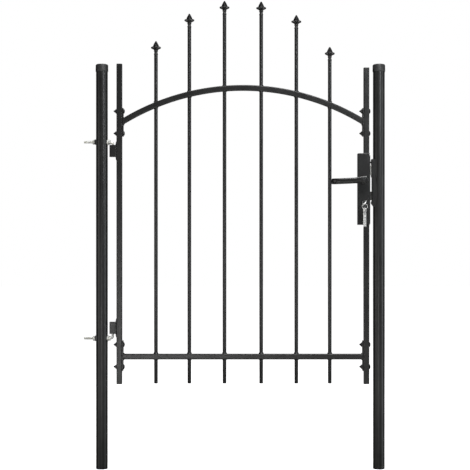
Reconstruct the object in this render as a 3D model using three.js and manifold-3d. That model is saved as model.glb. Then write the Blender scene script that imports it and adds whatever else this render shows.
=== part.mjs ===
// Garden gate: an arched leaf of spear-topped bars, hung on two threaded hooks from a round post
// and closed by a lever lock against a second post. Millimetres, +Z up, +X from the hinge post to
// the latch post, -Y towards the person who opens it. The origin is on the ground line, half way
// between the posts.
import * as THREE from 'three';
import { mergeVertices } from 'three/addons/utils/BufferGeometryUtils.js';
import Module from 'manifold-3d';

const wasm = await Module();
wasm.setup();

// Driving dimensions.
const fit = 0.3; // gap left between two pieces that touch
const overshoot = 5; // how far a cutting shape runs past the piece it cuts
const lap = 1; // how far two shapes of one piece run into each other

const post = { spacing: 900, diameter: 38, wall: 2, height: 1310.5, sides: 28 };
const cap = {
  diameter: 41, height: 26, top: 1315, edgeRadius: 5, edgeSteps: 2, crown: 1, draft: 1, sides: 24,
};

const leaf = { middle: 8, bottom: 275, tube: 18, wall: 1.5 };
const hingeStile = { x: -393.2, top: 1315.5 };
const lockStile = { x: 409.3, top: 1303 };
const plug = { flange: 3, depth: 12 };

const arch = { apex: 1237, radius: 750, steps: 18 };
const lowerRail = { z: 364 };
const endPlate = { thickness: 4, upperHeight: 92, lowerHeight: 98, upperMiddle: 1125, lowerMiddle: 367 };

const bar = { diameter: 12, bottom: 277, offsets: [-282.4, -173.8, -59.6, 59.6, 173.8, 282.4], sides: 12 };
const tips = [1389.5, 1478.5, 1520, 1518, 1474, 1370.5]; // top of each spear, from the hinge side
const spear = {
  height: 45,
  sides: 8,
  // radius and height up the turned core: socket with two beads, waist, then the pointed leaf
  core: [
    [0, 0], [6.4, 0], [7, 2], [5.6, 3.5], [5.6, 9], [7, 10.5], [7, 13], [5, 14.6], [6.6, 16.5],
    [9.2, 21], [9.6, 24], [9.4, 29], [7.6, 34], [3.6, 41], [0, 45],
  ],
  petals: 4,
  petalWidth: 7,
  // half of a petal's side view, from the core out to its blunt tip and back
  petal: [[2, 14], [5, 15], [11, 18.1], [15.6, 20.1], [16.3, 23], [15.6, 25.9], [10, 27.6], [2, 30]],
};

const bolt = {
  shank: 6, headDiameter: 16, headHeight: 4.2, crown: 0.3, crownDrop: 0.8, spacing: 72, sides: 10,
};
const domeNut = { flats: 13, height: 3.5, cone: 7, shoulder: 0.84, waist: 0.5, waistRise: 0.5 };

const hook = { diameter: 8, outerTip: -508, pinX: -414.6, bend: 7, sides: 8, steps: 28 };
const hookHeights = { upper: 1060.5, lower: 423.5 };
const lug = {
  width: 20, height: 38.5, stand: { upper: 9.3, lower: 14.8 }, pinShort: 1, bore: 4.4,
  plate: 2, plateHeight: 61, plateTaper: 6, plateEdge: 0.6,
};
const hookNut = { flats: 13, thickness: 7 };
const saddle = { thickness: 3.4, height: 16, depth: 26, wrap: 6 };
const washer = { diameter: 20, thickness: 2.1, wrap: 3, sides: 20 };

const lock = {
  left: 381, right: 418.5, bottom: 792, top: 1024, depth: 30, wall: 2, axisX: 400.5, holeSides: 24,
};
const lever = {
  z: 937, tip: 294, reach: 49, thickness: 9, height: 16.5, corner: 2, neck: 18, sides: 20, steps: 12,
};
// the grip's middle line: distance along from the hub or the tip, distance back from the front, and drop
const gripFromHub = [[8, 7, 0], [-2, 1.5, 0], [-16, 0, 0]];
const gripFromTip = [[22, 0, -2], [8, 4, -2.5], [2, 15, -2.5]];
const leverCollar = { diameter: 26, depth: 4 };
const spindle = { side: 8, length: 66 };
const forend = { face: 421, thickness: 2.4, bottom: 795, top: 1017, width: 22 };
const lockBody = { left: 384.5, bottom: 800, top: 1012, depth: 18, wall: 1.5, hubHole: 7 };
const follower = { radius: 9, arm: 15, armWidth: 4, armThickness: 4, thickness: 10, sides: 20 };

// The noses stop just short of the strike.
const latch = {
  tip: 425.3, bottom: 953, top: 985, inner: 404, thickness: 12, tail: 13, hookDrop: 3, hookWidth: 3,
};
const deadBolt = { tip: 427.3, bottom: 872, top: 900, inner: 403, thickness: 12, tail: 15 };
const tailHalf = 2;
const tailInset = 10;
const strike = {
  face: 425.7, sheet: 2.5, bottom: 850, top: 1005, width: 30, slope: 11, slopeRun: 8, clearance: 1,
  dent: 2, dentFoot: 870, dentHead: 949, dentRun: 4,
};
const screw = { z: 995, head: 8, headHeight: 3, shank: 4, depth: 5, sides: 12 };

const cylinder = {
  z: 861.5, radius: 8.5, lobe: 10, height: 33, length: 42,
  plug: 6.2, plugLength: 15, plugProud: 0.6, sides: 20,
};
const key = {
  tilt: 32, thickness: 2.2, bow: 10.5, bowY: -36, hole: 5, holeY: -38,
  blade: 8.2, neckWidth: 9, neckEnd: -22, tip: 2, sides: 24,
};
const ring = { radius: 9, wire: 0.8, hang: 2, sides: 6, steps: 24 };
const spareKey = {
  bow: 8, hole: 3.7, rim: 2.2, length: 63, blade: 8, point: 3, openAngle: 0.14, steps: 20, sides: 16,
};
const bunch = { turn: 60, spread: 1.8, fan: 3, sag: 1 }; // how the two spare keys hang on the ring

const hingePostX = -post.spacing / 2;
const latchPostX = post.spacing / 2;
const postRadius = post.diameter / 2;
const halfTube = leaf.tube / 2;

// Colours, roughness and metalness of the finishes.
const blackCoat = { color: 0x2b2c2d, roughness: 0.42, metalness: 0.2 };
const zinc = { color: 0xb9b8ae, roughness: 0.38, metalness: 0.85 };
const nickel = { color: 0xc9c8c4, roughness: 0.28, metalness: 0.9 };
const bareSteel = { color: 0x8b8b88, roughness: 0.4, metalness: 0.8 };
const blackPlastic = { color: 0x202122, roughness: 0.6, metalness: 0 };

const gate = new THREE.Group();

// Adds one named piece to the gate, or to a group that is already in it.
function add(name, geometry, finish, parent = gate) {
  const mesh = new THREE.Mesh(geometry, new THREE.MeshStandardMaterial(finish));
  mesh.name = name;
  parent.add(mesh);
  return mesh;
}

// Closed geometry to solid and back.
function toSolid(geometry) {
  const bare = geometry.clone();
  bare.deleteAttribute('normal');
  bare.deleteAttribute('uv');
  const merged = mergeVertices(bare, 1e-4);
  const vertProperties = new Float32Array(merged.attributes.position.array);
  const triVerts = new Uint32Array(merged.index.array);
  return new wasm.Manifold(new wasm.Mesh({ numProp: 3, vertProperties, triVerts }));
}

function toGeometry(solid) {
  const mesh = solid.getMesh();
  const geometry = new THREE.BufferGeometry();
  geometry.setAttribute('position', new THREE.BufferAttribute(new Float32Array(mesh.vertProperties), 3));
  geometry.setIndex(new THREE.BufferAttribute(new Uint32Array(mesh.triVerts), 1));
  geometry.computeVertexNormals();
  return geometry;
}

// Joins the first list of geometries and cuts the second list from the result.
function carve(joined, cut = []) {
  let solid = toSolid(joined[0]);
  for (const geometry of joined.slice(1)) {
    solid = solid.add(toSolid(geometry));
  }
  for (const geometry of cut) {
    solid = solid.subtract(toSolid(geometry));
  }
  return toGeometry(solid);
}

// A box between two corners.
function block(low, high) {
  const size = high.map((value, i) => value - low[i]);
  const middle = high.map((value, i) => (value + low[i]) / 2);
  return new THREE.BoxGeometry(...size).translate(...middle);
}

// A round rod from one height to another along X, Y or Z, centred on the other two coordinates.
function rod(axis, from, to, a, b, radius, sides = 16) {
  const geometry = new THREE.CylinderGeometry(radius, radius, to - from, sides);
  const middle = (from + to) / 2;
  if (axis === 'x') {
    return geometry.rotateZ(-Math.PI / 2).translate(middle, a, b);
  }
  if (axis === 'y') {
    return geometry.translate(a, middle, b);
  }
  return geometry.rotateX(Math.PI / 2).translate(a, b, middle);
}

// A turned shape: the profile holds [radius, height] pairs, from the axis to the axis or closed.
function turned(profile, sides) {
  const points = profile.map(([radius, height]) => new THREE.Vector2(radius, height));
  return new THREE.LatheGeometry(points, sides).rotateX(Math.PI / 2);
}

// An outline in the XZ plane with a thickness along Y.
function plateXZ(points, fromY, toY) {
  const shape = new THREE.Shape(points.map(([x, z]) => new THREE.Vector2(x, z)));
  const geometry = new THREE.ExtrudeGeometry(shape, { depth: toY - fromY, bevelEnabled: false });
  return geometry.rotateX(Math.PI / 2).translate(0, toY, 0);
}

function arcPoints(x, z, radius, from, to, steps) {
  const points = [];
  for (let i = 0; i <= steps; i += 1) {
    const angle = from + ((to - from) * i) / steps;
    points.push([x + radius * Math.cos(angle), z + radius * Math.sin(angle)]);
  }
  return points;
}

// Posts: round tubes with a push-on cap. One is drilled for the hooks, the other slotted for the lock.
function postTube(x, cuts) {
  const outer = rod('z', 0, post.height, x, 0, postRadius, post.sides);
  const inner = rod('z', -overshoot, post.height + overshoot, x, 0, postRadius - post.wall, post.sides);
  return carve([outer], [inner, ...cuts]);
}

function hookHole(z) {
  const reach = postRadius + overshoot;
  return rod('x', hingePostX - reach, hingePostX + reach, 0, z, hook.diameter / 2 + fit);
}

function boltSlot(nose) {
  const half = nose.thickness / 2 + strike.clearance;
  const low = [strike.face, -half, nose.bottom - strike.clearance];
  const high = [latchPostX, half, nose.top + strike.clearance];
  return block(low, high);
}

function postCap() {
  const outer = cap.diameter / 2;
  const inner = postRadius + fit;
  const profile = [[0, cap.height]];
  const edge = outer - cap.edgeRadius;
  for (let i = 0; i <= cap.edgeSteps; i += 1) {
    const angle = (Math.PI / 2) * (1 - i / cap.edgeSteps);
    const drop = cap.crown + cap.edgeRadius * (1 - Math.sin(angle));
    profile.push([edge + cap.edgeRadius * Math.cos(angle), cap.height - drop]);
  }
  profile.push([outer - cap.draft, 0]);
  profile.push([inner, 0]);
  const ceiling = post.height + fit - (cap.top - cap.height);
  profile.push([inner, ceiling]);
  profile.push([0, ceiling]);
  return turned(profile.reverse(), cap.sides);
}

const hookHoles = [hookHole(hookHeights.upper), hookHole(hookHeights.lower)];
add('hinge_post', postTube(hingePostX, hookHoles), blackCoat);
add('latch_post', postTube(latchPostX, [boltSlot(latch), boltSlot(deadBolt)]), blackCoat);
add('hinge_post_cap', postCap(), blackPlastic).position.set(hingePostX, 0, cap.top - cap.height);
add('latch_post_cap', postCap(), blackPlastic).position.set(latchPostX, 0, cap.top - cap.height);

// Stiles: square tubes. The lock stile is in two lengths, above and below the lock box.
function squareTube(x, bottom, top, cuts = []) {
  const outer = block([x - halfTube, -halfTube, bottom], [x + halfTube, halfTube, top]);
  const bore = halfTube - leaf.wall;
  const inner = block([x - bore, -bore, bottom - overshoot], [x + bore, bore, top + overshoot]);
  return carve([outer], [inner, ...cuts]);
}

function boltHoles(x, middle) {
  return [-1, 1].map((side) => {
    const z = middle + (side * bolt.spacing) / 2;
    return rod('x', x - leaf.tube, x + leaf.tube, 0, z, bolt.shank / 2 + fit, bolt.sides);
  });
}

function stilePlug(x, top) {
  const tube = top - plug.flange;
  const reach = halfTube - leaf.wall - fit;
  const flange = block([x - halfTube, -halfTube, tube + fit], [x + halfTube, halfTube, top]);
  const insert = block([x - reach, -reach, tube - plug.depth], [x + reach, reach, tube + fit + lap]);
  return carve([flange, insert]);
}

const upperHoles = (x) => boltHoles(x, endPlate.upperMiddle);
const lowerHoles = (x) => boltHoles(x, endPlate.lowerMiddle);
const hingeHoles = [...upperHoles(hingeStile.x), ...lowerHoles(hingeStile.x)];
const hingeTube = squareTube(hingeStile.x, leaf.bottom, hingeStile.top - plug.flange, hingeHoles);
const lowHoles = lowerHoles(lockStile.x);
const lowTube = squareTube(lockStile.x, leaf.bottom, lock.bottom - fit, lowHoles);
const highHoles = upperHoles(lockStile.x);
const highTube = squareTube(lockStile.x, lock.top + fit, lockStile.top - plug.flange, highHoles);
add('hinge_stile', hingeTube, blackCoat);
add('lock_stile_lower', lowTube, blackCoat);
add('lock_stile_upper', highTube, blackCoat);
add('hinge_stile_plug', stilePlug(hingeStile.x, hingeStile.top), blackPlastic);
add('lock_stile_plug', stilePlug(lockStile.x, lockStile.top), blackPlastic);

// Rails: square tubes that the bars pass through, with a bolting plate welded on each end.
const railStart = hingeStile.x + halfTube + fit + endPlate.thickness;
const railEnd = lockStile.x - halfTube - fit - endPlate.thickness;

function railPlates(middle, height) {
  return [railStart - endPlate.thickness, railEnd].map((left) => {
    const right = left + endPlate.thickness;
    return block([left, -halfTube, middle - height / 2], [right, halfTube, middle + height / 2]);
  });
}

const barHoles = bar.offsets.map((offset) => {
  const x = leaf.middle + offset;
  return rod('z', 0, tips[2], x, 0, bar.diameter / 2 + fit, bar.sides);
});

function plateHoles(middle) {
  const hingeSide = boltHoles(hingeStile.x + leaf.tube, middle);
  return [...hingeSide, ...boltHoles(lockStile.x - leaf.tube, middle)];
}

function archBand(halfWidth, extra) {
  const centreZ = arch.apex - arch.radius;
  const reach = Math.asin((railEnd - leaf.middle + extra) / arch.radius);
  const start = Math.PI / 2 + reach;
  const end = Math.PI / 2 - reach;
  const outer = arcPoints(leaf.middle, centreZ, arch.radius + halfWidth, start, end, arch.steps);
  const inner = arcPoints(leaf.middle, centreZ, arch.radius - halfWidth, end, start, arch.steps);
  return plateXZ([...outer, ...inner], -halfWidth, halfWidth);
}

function archRail() {
  const tooLong = archBand(halfTube, overshoot);
  const room = block([railStart, -leaf.tube, leaf.bottom], [railEnd, leaf.tube, arch.apex + leaf.tube]);
  const band = toGeometry(toSolid(tooLong).intersect(toSolid(room)));
  const hollow = archBand(halfTube - leaf.wall, 0);
  const plates = railPlates(endPlate.upperMiddle, endPlate.upperHeight);
  const shell = carve([band], [hollow, ...barHoles]);
  return carve([shell, ...plates], plateHoles(endPlate.upperMiddle));
}

function straightRail() {
  const bore = halfTube - leaf.wall;
  const [low, high] = [lowerRail.z - halfTube, lowerRail.z + halfTube];
  const outer = block([railStart, -halfTube, low], [railEnd, halfTube, high]);
  const inner = block([railStart, -bore, lowerRail.z - bore], [railEnd, bore, lowerRail.z + bore]);
  const plates = railPlates(endPlate.lowerMiddle, endPlate.lowerHeight);
  return carve([carve([outer], [inner, ...barHoles]), ...plates], plateHoles(endPlate.lowerMiddle));
}

add('arch_rail', archRail(), blackCoat);
add('lower_rail', straightRail(), blackCoat);

// Bars and their cast spear heads: a beaded socket, a waist, four blunt petals and a pointed leaf.
function spearHead() {
  const petals = [];
  for (let i = 0; i < spear.petals; i += 1) {
    const half = spear.petalWidth / 2;
    petals.push(plateXZ(spear.petal, -half, half).rotateZ((i * 2 * Math.PI) / spear.petals));
  }
  return carve([turned(spear.core, spear.sides), ...petals]);
}

const spearShape = spearHead();
bar.offsets.forEach((offset, i) => {
  const x = leaf.middle + offset;
  const barTop = tips[i] - spear.height - fit;
  add(`bar_${i + 1}`, rod('z', bar.bottom, barTop, x, 0, bar.diameter / 2, bar.sides), blackCoat);
  add(`spear_${i + 1}`, spearShape.clone(), blackCoat).position.set(x, 0, tips[i] - spear.height);
});

// Coach bolts with their cone-topped nuts, heads towards +X, through a stile and a bolting plate.
function coachBolt(headFace, nutFace) {
  const flat = domeNut.flats / Math.sqrt(3);
  const head = [
    [0, bolt.headHeight], [bolt.headDiameter * bolt.crown, bolt.headHeight * bolt.crownDrop],
    [bolt.headDiameter / 2, 0], [0, 0],
  ];
  const waist = [flat * domeNut.waist, domeNut.cone * domeNut.waistRise];
  const cone = [[0, 0], [flat * domeNut.shoulder, 0], waist, [0, domeNut.cone]];
  const mushroom = turned(head.reverse(), bolt.sides).rotateY(Math.PI / 2).translate(headFace + fit, 0, 0);
  const nutTop = nutFace - fit - domeNut.height;
  const acorn = turned(cone, bolt.sides).rotateY(-Math.PI / 2).translate(nutTop + lap / 2, 0, 0);
  const nut = rod('x', nutTop, nutFace - fit, 0, 0, flat, 6);
  const shank = rod('x', nutTop + lap, headFace + lap, 0, 0, bolt.shank / 2, bolt.sides);
  return carve([nut, acorn, shank, mushroom]);
}

const hingeBolt = coachBolt(railStart, hingeStile.x - halfTube);
const lockBolt = coachBolt(lockStile.x + halfTube, railEnd);
for (const [side, shape] of [['hinge', hingeBolt], ['lock', lockBolt]]) {
  for (const [level, middle] of [['upper', endPlate.upperMiddle], ['lower', endPlate.lowerMiddle]]) {
    for (const [place, sign] of [['top', 1], ['bottom', -1]]) {
      const name = `${side}_${level}_${place}_bolt`;
      add(name, shape.clone(), blackCoat).position.set(0, 0, middle + (sign * bolt.spacing) / 2);
    }
  }
}

// Hinges: a threaded hook through the post, bent down at the top and up at the bottom, in a lug
// welded to the stile. Each hook is clamped by a nut on either side of the post.
const hookRadius = hook.diameter / 2;

function hookRod(turn, stand) {
  const pinLength = stand + lug.height - lug.pinShort;
  const path = new THREE.CurvePath();
  const corner = hook.pinX - hook.bend;
  const at = (x, z) => new THREE.Vector3(x, 0, z * turn);
  path.add(new THREE.LineCurve3(at(hook.outerTip, 0), at(corner, 0)));
  path.add(new THREE.QuadraticBezierCurve3(at(corner, 0), at(hook.pinX, 0), at(hook.pinX, hook.bend)));
  path.add(new THREE.LineCurve3(at(hook.pinX, hook.bend), at(hook.pinX, pinLength)));
  const section = new THREE.Shape();
  section.absarc(0, 0, hookRadius, 0, Math.PI * 2, false);
  const { steps, sides } = hook;
  const options = { steps, extrudePath: path, curveSegments: sides / 2, bevelEnabled: false };
  return new THREE.ExtrudeGeometry(section, options);
}

function hookNutRing(left) {
  const nut = rod('x', left, left + hookNut.thickness, 0, 0, hookNut.flats / Math.sqrt(3), 6);
  return carve([nut], [rod('x', left - lap, left + hookNut.thickness + lap, 0, 0, hookRadius + fit)]);
}

const postHollow = rod('z', -saddle.depth, saddle.depth, hingePostX, 0, postRadius + fit, post.sides);
const outerSaddleFace = hingePostX - postRadius - saddle.thickness;
const innerWasherFace = hingePostX + postRadius + washer.thickness;

function outerSaddle() {
  const half = [saddle.depth / 2, saddle.height / 2];
  const inside = hingePostX - postRadius + saddle.wrap;
  const body = block([outerSaddleFace, -half[0], -half[1]], [inside, half[0], half[1]]);
  return carve([body], [postHollow, rod('x', outerSaddleFace - lap, hingePostX, 0, 0, hookRadius + fit)]);
}

function innerWasher() {
  const start = hingePostX + postRadius - washer.wrap;
  const disc = rod('x', start, innerWasherFace, 0, 0, washer.diameter / 2, washer.sides);
  return carve([disc], [postHollow, rod('x', hingePostX, innerWasherFace + lap, 0, 0, hookRadius + fit)]);
}

function hingeLug(turn, stand) {
  const half = lug.width / 2;
  const plateFace = hingeStile.x - halfTube - fit;
  const [near, far] = [stand * turn, (stand + lug.height) * turn].sort((a, b) => a - b);
  const body = block([hook.pinX - half, -half, near], [plateFace - lap, half, far]);
  const middle = (near + far) / 2;
  const reach = lug.plateHeight / 2;
  const outline = [
    [plateFace - lug.plate, middle - reach + lug.plateTaper], [plateFace - lug.plateEdge, middle - reach],
    [plateFace, middle - reach], [plateFace, middle + reach],
    [plateFace - lug.plateEdge, middle + reach], [plateFace - lug.plate, middle + reach - lug.plateTaper],
  ];
  const plate = plateXZ(outline, -halfTube, halfTube);
  const bore = rod('z', near - lap, far + lap, hook.pinX, 0, lug.bore);
  return carve([body, plate], [bore]);
}

for (const [level, turn] of [['upper', -1], ['lower', 1]]) {
  const stand = lug.stand[level];
  const hinge = new THREE.Group();
  hinge.position.z = hookHeights[level];
  gate.add(hinge);
  add(`${level}_hook`, hookRod(turn, stand), zinc, hinge);
  add(`${level}_outer_saddle`, outerSaddle(), blackCoat, hinge);
  add(`${level}_outer_nut`, hookNutRing(outerSaddleFace - fit - hookNut.thickness), zinc, hinge);
  add(`${level}_inner_washer`, innerWasher(), zinc, hinge);
  add(`${level}_inner_nut`, hookNutRing(innerWasherFace + fit), zinc, hinge);
  add(`${level}_hinge_lug`, hingeLug(turn, stand), blackCoat, hinge);
}

// Lock box: a sheet box welded into the stile, open towards the latch post.
const cylinderLobe = cylinder.height - cylinder.radius - cylinder.lobe / 2;

function cylinderProfile(grow, fromY, toY) {
  const round = rod('y', fromY, toY, lock.axisX, cylinder.z, cylinder.radius + grow, lock.holeSides);
  const half = cylinder.lobe / 2 + grow;
  const footZ = cylinder.z - cylinderLobe;
  const lobe = block([lock.axisX - half, fromY, footZ], [lock.axisX + half, toY, cylinder.z]);
  const foot = rod('y', fromY, toY, lock.axisX, footZ, half);
  return carve([round, lobe, foot]);
}

const halfDepth = lock.depth / 2;
const throughLock = [-lock.depth, lock.depth];

function lockBox() {
  const outer = block([lock.left, -halfDepth, lock.bottom], [lock.right, halfDepth, lock.top]);
  const low = [lock.left + lock.wall, lock.wall - halfDepth, lock.bottom + lock.wall];
  const inner = block(low, [lock.right + overshoot, halfDepth - lock.wall, lock.top - lock.wall]);
  const neckHole = rod('y', ...throughLock, lock.axisX, lever.z, lever.neck / 2 + fit, lock.holeSides);
  return carve([outer], [inner, neckHole, cylinderProfile(fit, ...throughLock)]);
}

// Lock body: forend plate and a tray behind it that guides the latch and the dead bolt.
function noseWindow(nose) {
  const half = nose.thickness / 2 + fit;
  const low = [forend.face - overshoot, -half, nose.bottom - fit];
  return block(low, [forend.face + lap, half, nose.top + fit]);
}

function lockTray() {
  const half = lockBody.depth / 2;
  const back = forend.face - forend.thickness;
  const wide = forend.width / 2;
  const plate = block([back, -wide, forend.bottom], [forend.face, wide, forend.top]);
  const shell = block([lockBody.left, -half, lockBody.bottom], [back + lap, half, lockBody.top]);
  const low = [lockBody.left + lockBody.wall, lockBody.wall - half, lockBody.bottom + lockBody.wall];
  const room = block(low, [back, half + lap, lockBody.top - lockBody.wall]);
  const hubHole = rod('y', -half - lap, half + lap, lock.axisX, lever.z, lockBody.hubHole);
  const windows = [noseWindow(latch), noseWindow(deadBolt)];
  return carve([plate, shell], [room, hubHole, cylinderProfile(fit, ...throughLock), ...windows]);
}

function nosePiece(piece) {
  const half = piece.thickness / 2;
  const nose = block([piece.inner, -half, piece.bottom], [piece.tip, half, piece.top]);
  const low = [piece.inner - piece.tail, -tailHalf, piece.bottom + tailInset];
  const tail = block(low, [piece.inner + lap, tailHalf, piece.top - tailInset]);
  return [nose, tail];
}

// The latch's tail turns down at its end, into the reach of the follower's arm.
function latchBolt() {
  const end = latch.inner - latch.tail;
  const low = [end, -tailHalf, latch.bottom - latch.hookDrop];
  return carve([...nosePiece(latch), block(low, [end + latch.hookWidth, tailHalf, latch.top - tailInset])]);
}

function followerHub() {
  const half = follower.thickness / 2;
  const hub = rod('y', -half, half, lock.axisX, lever.z, follower.radius, follower.sides);
  const armHalf = follower.armWidth / 2;
  const thick = follower.armThickness / 2;
  const reach = [lock.axisX + armHalf, thick, lever.z + follower.arm];
  const arm = block([lock.axisX - armHalf, -thick, lever.z], reach);
  return carve([hub, arm], [spindleBar(spindle.side / 2 + fit, spindle.length)]);
}

function spindleBar(half, length) {
  const low = [lock.axisX - half, -length / 2, lever.z - half];
  return block(low, [lock.axisX + half, length / 2, lever.z + half]);
}

add('lock_box', lockBox(), blackCoat);
add('lock_body', lockTray(), blackCoat);
add('latch_bolt', latchBolt(), bareSteel);
add('dead_bolt', carve(nosePiece(deadBolt)), bareSteel);
add('lock_follower', followerHub(), bareSteel);
add('lever_spindle', spindleBar(spindle.side / 2, spindle.length), bareSteel);

// Levers: a collar and neck on the lock box, and a flat grip that turns back in at its end.
function leverHandle(side) {
  const face = halfDepth + fit;
  const grip = lever.reach;
  const collarEnd = face + leverCollar.depth;
  const span = (from, to) => (side < 0 ? [-to, -from] : [from, to]);
  const wide = leverCollar.diameter / 2;
  const collar = rod('y', ...span(face, collarEnd), lock.axisX, lever.z, wide, lock.holeSides);
  const neckStart = lockBody.depth / 2 + fit;
  const neckEnd = grip - lever.thickness / 3;
  const neck = rod('y', ...span(neckStart, neckEnd), lock.axisX, lever.z, lever.neck / 2, lever.sides);
  const place = (x) => ([along, back, drop]) => new THREE.Vector3(x + along, side * (grip - back), drop);
  const points = [...gripFromHub.map(place(lock.axisX)), ...gripFromTip.map(place(lever.tip))];
  const path = new THREE.CatmullRomCurve3(points);
  const section = new THREE.Shape();
  const [halfHeight, halfThick, corner] = [lever.height / 2, lever.thickness / 2, lever.corner];
  section.moveTo(halfHeight - corner, -halfThick).lineTo(halfHeight, corner - halfThick);
  section.lineTo(halfHeight, halfThick - corner).lineTo(halfHeight - corner, halfThick);
  section.lineTo(corner - halfHeight, halfThick).lineTo(-halfHeight, halfThick - corner);
  section.lineTo(-halfHeight, corner - halfThick).lineTo(corner - halfHeight, -halfThick);
  const options = { steps: lever.steps, extrudePath: path, bevelEnabled: false };
  const bend = new THREE.ExtrudeGeometry(section, options);
  bend.translate(0, 0, lever.z);
  return carve([collar, neck, bend], [spindleBar(spindle.side / 2 + fit, spindle.length + lap)]);
}

add('front_lever', leverHandle(-1), blackCoat);
add('rear_lever', leverHandle(1), blackCoat);

// Profile cylinder, its turning plug, and the keys.
const halfCylinder = cylinder.length / 2;
const plugEnd = cylinder.plugLength - halfCylinder;
const keyTilt = THREE.MathUtils.degToRad(key.tilt);

// Turns a piece that stands in the YZ plane about the key's own axis, by the tilt that the key rests at.
function tilted(geometry) {
  return geometry.translate(0, 0, -cylinder.z).rotateY(keyTilt).translate(lock.axisX, 0, cylinder.z);
}

function lockCylinder() {
  const body = cylinderProfile(0, -halfCylinder, halfCylinder);
  const radius = cylinder.plug + fit;
  const bore = rod('y', -halfCylinder - lap, plugEnd + fit, lock.axisX, cylinder.z, radius, cylinder.sides);
  return carve([body], [bore]);
}

function keyWay(grow) {
  const half = key.blade / 2 + grow;
  const thick = key.thickness / 2 + grow;
  const low = [-thick, key.neckEnd - lap, cylinder.z - half];
  return block(low, [thick, plugEnd - key.tip + grow, cylinder.z + half]);
}

function cylinderPlug() {
  const front = -halfCylinder - cylinder.plugProud;
  const round = rod('y', front, plugEnd, 0, cylinder.z, cylinder.plug, cylinder.sides);
  return tilted(carve([round], [keyWay(fit)]));
}

function doorKey() {
  const thick = key.thickness / 2;
  const bow = rod('x', -thick, thick, key.bowY, cylinder.z, key.bow, key.sides);
  const neckHalf = key.neckWidth / 2;
  const low = [-thick, key.bowY, cylinder.z - neckHalf];
  const neck = block(low, [thick, key.neckEnd, cylinder.z + neckHalf]);
  const hole = rod('x', -key.bow, key.bow, key.holeY, cylinder.z, key.hole, key.sides);
  return tilted(carve([bow, neck, keyWay(0)], [hole]));
}

const ringCentreZ = cylinder.z - ring.hang - ring.radius;

function keyRing() {
  const circle = new THREE.TorusGeometry(ring.radius, ring.wire, ring.sides, ring.steps);
  return circle.rotateX(Math.PI / 2).translate(lock.axisX, key.holeY, ringCentreZ);
}

// A spare key hangs by the hole near the top of its bow; the outline runs round the bow and the blade.
function hangingKey() {
  const middle = spareKey.hole + spareKey.rim - spareKey.bow;
  const open = Math.PI * (spareKey.openAngle - 1 / 2);
  const outline = arcPoints(0, middle, spareKey.bow, open, Math.PI - open, spareKey.steps);
  const half = spareKey.blade / 2;
  const end = middle + spareKey.bow - spareKey.length;
  outline.push([-half, middle - spareKey.bow]);
  outline.push([-half, end + spareKey.point]);
  outline.push([0, end]);
  outline.push([half, end + spareKey.point]);
  outline.push([half, middle - spareKey.bow]);
  const flat = plateXZ(outline, -key.thickness / 2, key.thickness / 2);
  const hole = rod('y', -key.bow, key.bow, 0, 0, spareKey.hole, spareKey.sides);
  return carve([flat], [hole]);
}

add('lock_cylinder', lockCylinder(), nickel);
add('cylinder_plug', cylinderPlug(), nickel);
add('door_key', doorKey(), nickel);
add('key_ring', keyRing(), nickel);
for (const [number, sign] of [[1, -1], [2, 1]]) {
  const spare = add(`spare_key_${number}`, hangingKey(), nickel);
  const hangZ = ringCentreZ - ring.radius - bunch.sag;
  spare.position.set(lock.axisX + sign * bunch.spread, key.holeY, hangZ);
  spare.rotation.order = 'ZYX';
  spare.rotation.y = THREE.MathUtils.degToRad(-sign * bunch.fan);
  spare.rotation.z = THREE.MathUtils.degToRad(bunch.turn);
}

// Strike: a sheet keeper with a window for each nose, closed round the post, sloped at its foot.
function strikeKeeper() {
  const half = strike.width / 2;
  const back = latchPostX;
  const dented = strike.face + strike.dent;
  const outline = [
    [strike.face, strike.bottom + strike.slope], [strike.face + strike.slopeRun, strike.bottom],
    [back, strike.bottom], [back, strike.top], [strike.face, strike.top],
    [strike.face, strike.dentHead], [dented, strike.dentHead - strike.dentRun],
    [dented, strike.dentFoot], [strike.face, strike.dentFoot - strike.dentRun],
  ];
  const body = plateXZ(outline, -half, half);
  const room = half - strike.sheet;
  const low = [dented + strike.sheet, -room, strike.bottom + strike.slope + strike.sheet];
  const hollow = block(low, [back, room, strike.top - strike.sheet]);
  const round = rod('z', 0, post.height, latchPostX, 0, postRadius + fit, post.sides);
  const inside = latchPostX - postRadius / 2;
  const past = block([inside, -half - lap, 0], [latchPostX + lap, half + lap, post.height]);
  const windows = [latch, deadBolt].map((nose) => {
    const gap = nose.thickness / 2 + strike.clearance;
    const corner = [strike.face - lap, -gap, nose.bottom - strike.clearance];
    return block(corner, [back, gap, nose.top + strike.clearance]);
  });
  const holeEnd = strike.face + screw.depth + lap;
  const screwHole = strikeScrewRod(screw.shank / 2 + fit, strike.face - lap, holeEnd);
  return carve([body], [hollow, round, past, ...windows, screwHole]);
}

function strikeScrewRod(radius, from, to) {
  return rod('x', from, to, 0, screw.z, radius, screw.sides);
}

function strikeScrew() {
  const seat = strike.face - fit;
  const head = strikeScrewRod(screw.head / 2, seat - screw.headHeight, seat);
  return carve([head, strikeScrewRod(screw.shank / 2, seat - lap, strike.face + screw.depth)]);
}

add('strike_keeper', strikeKeeper(), blackCoat);
add('strike_screw', strikeScrew(), blackCoat);

export default gate;
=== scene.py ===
import math
from itertools import product

import bmesh
import bpy
from mathutils import Matrix, Vector, noise


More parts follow.
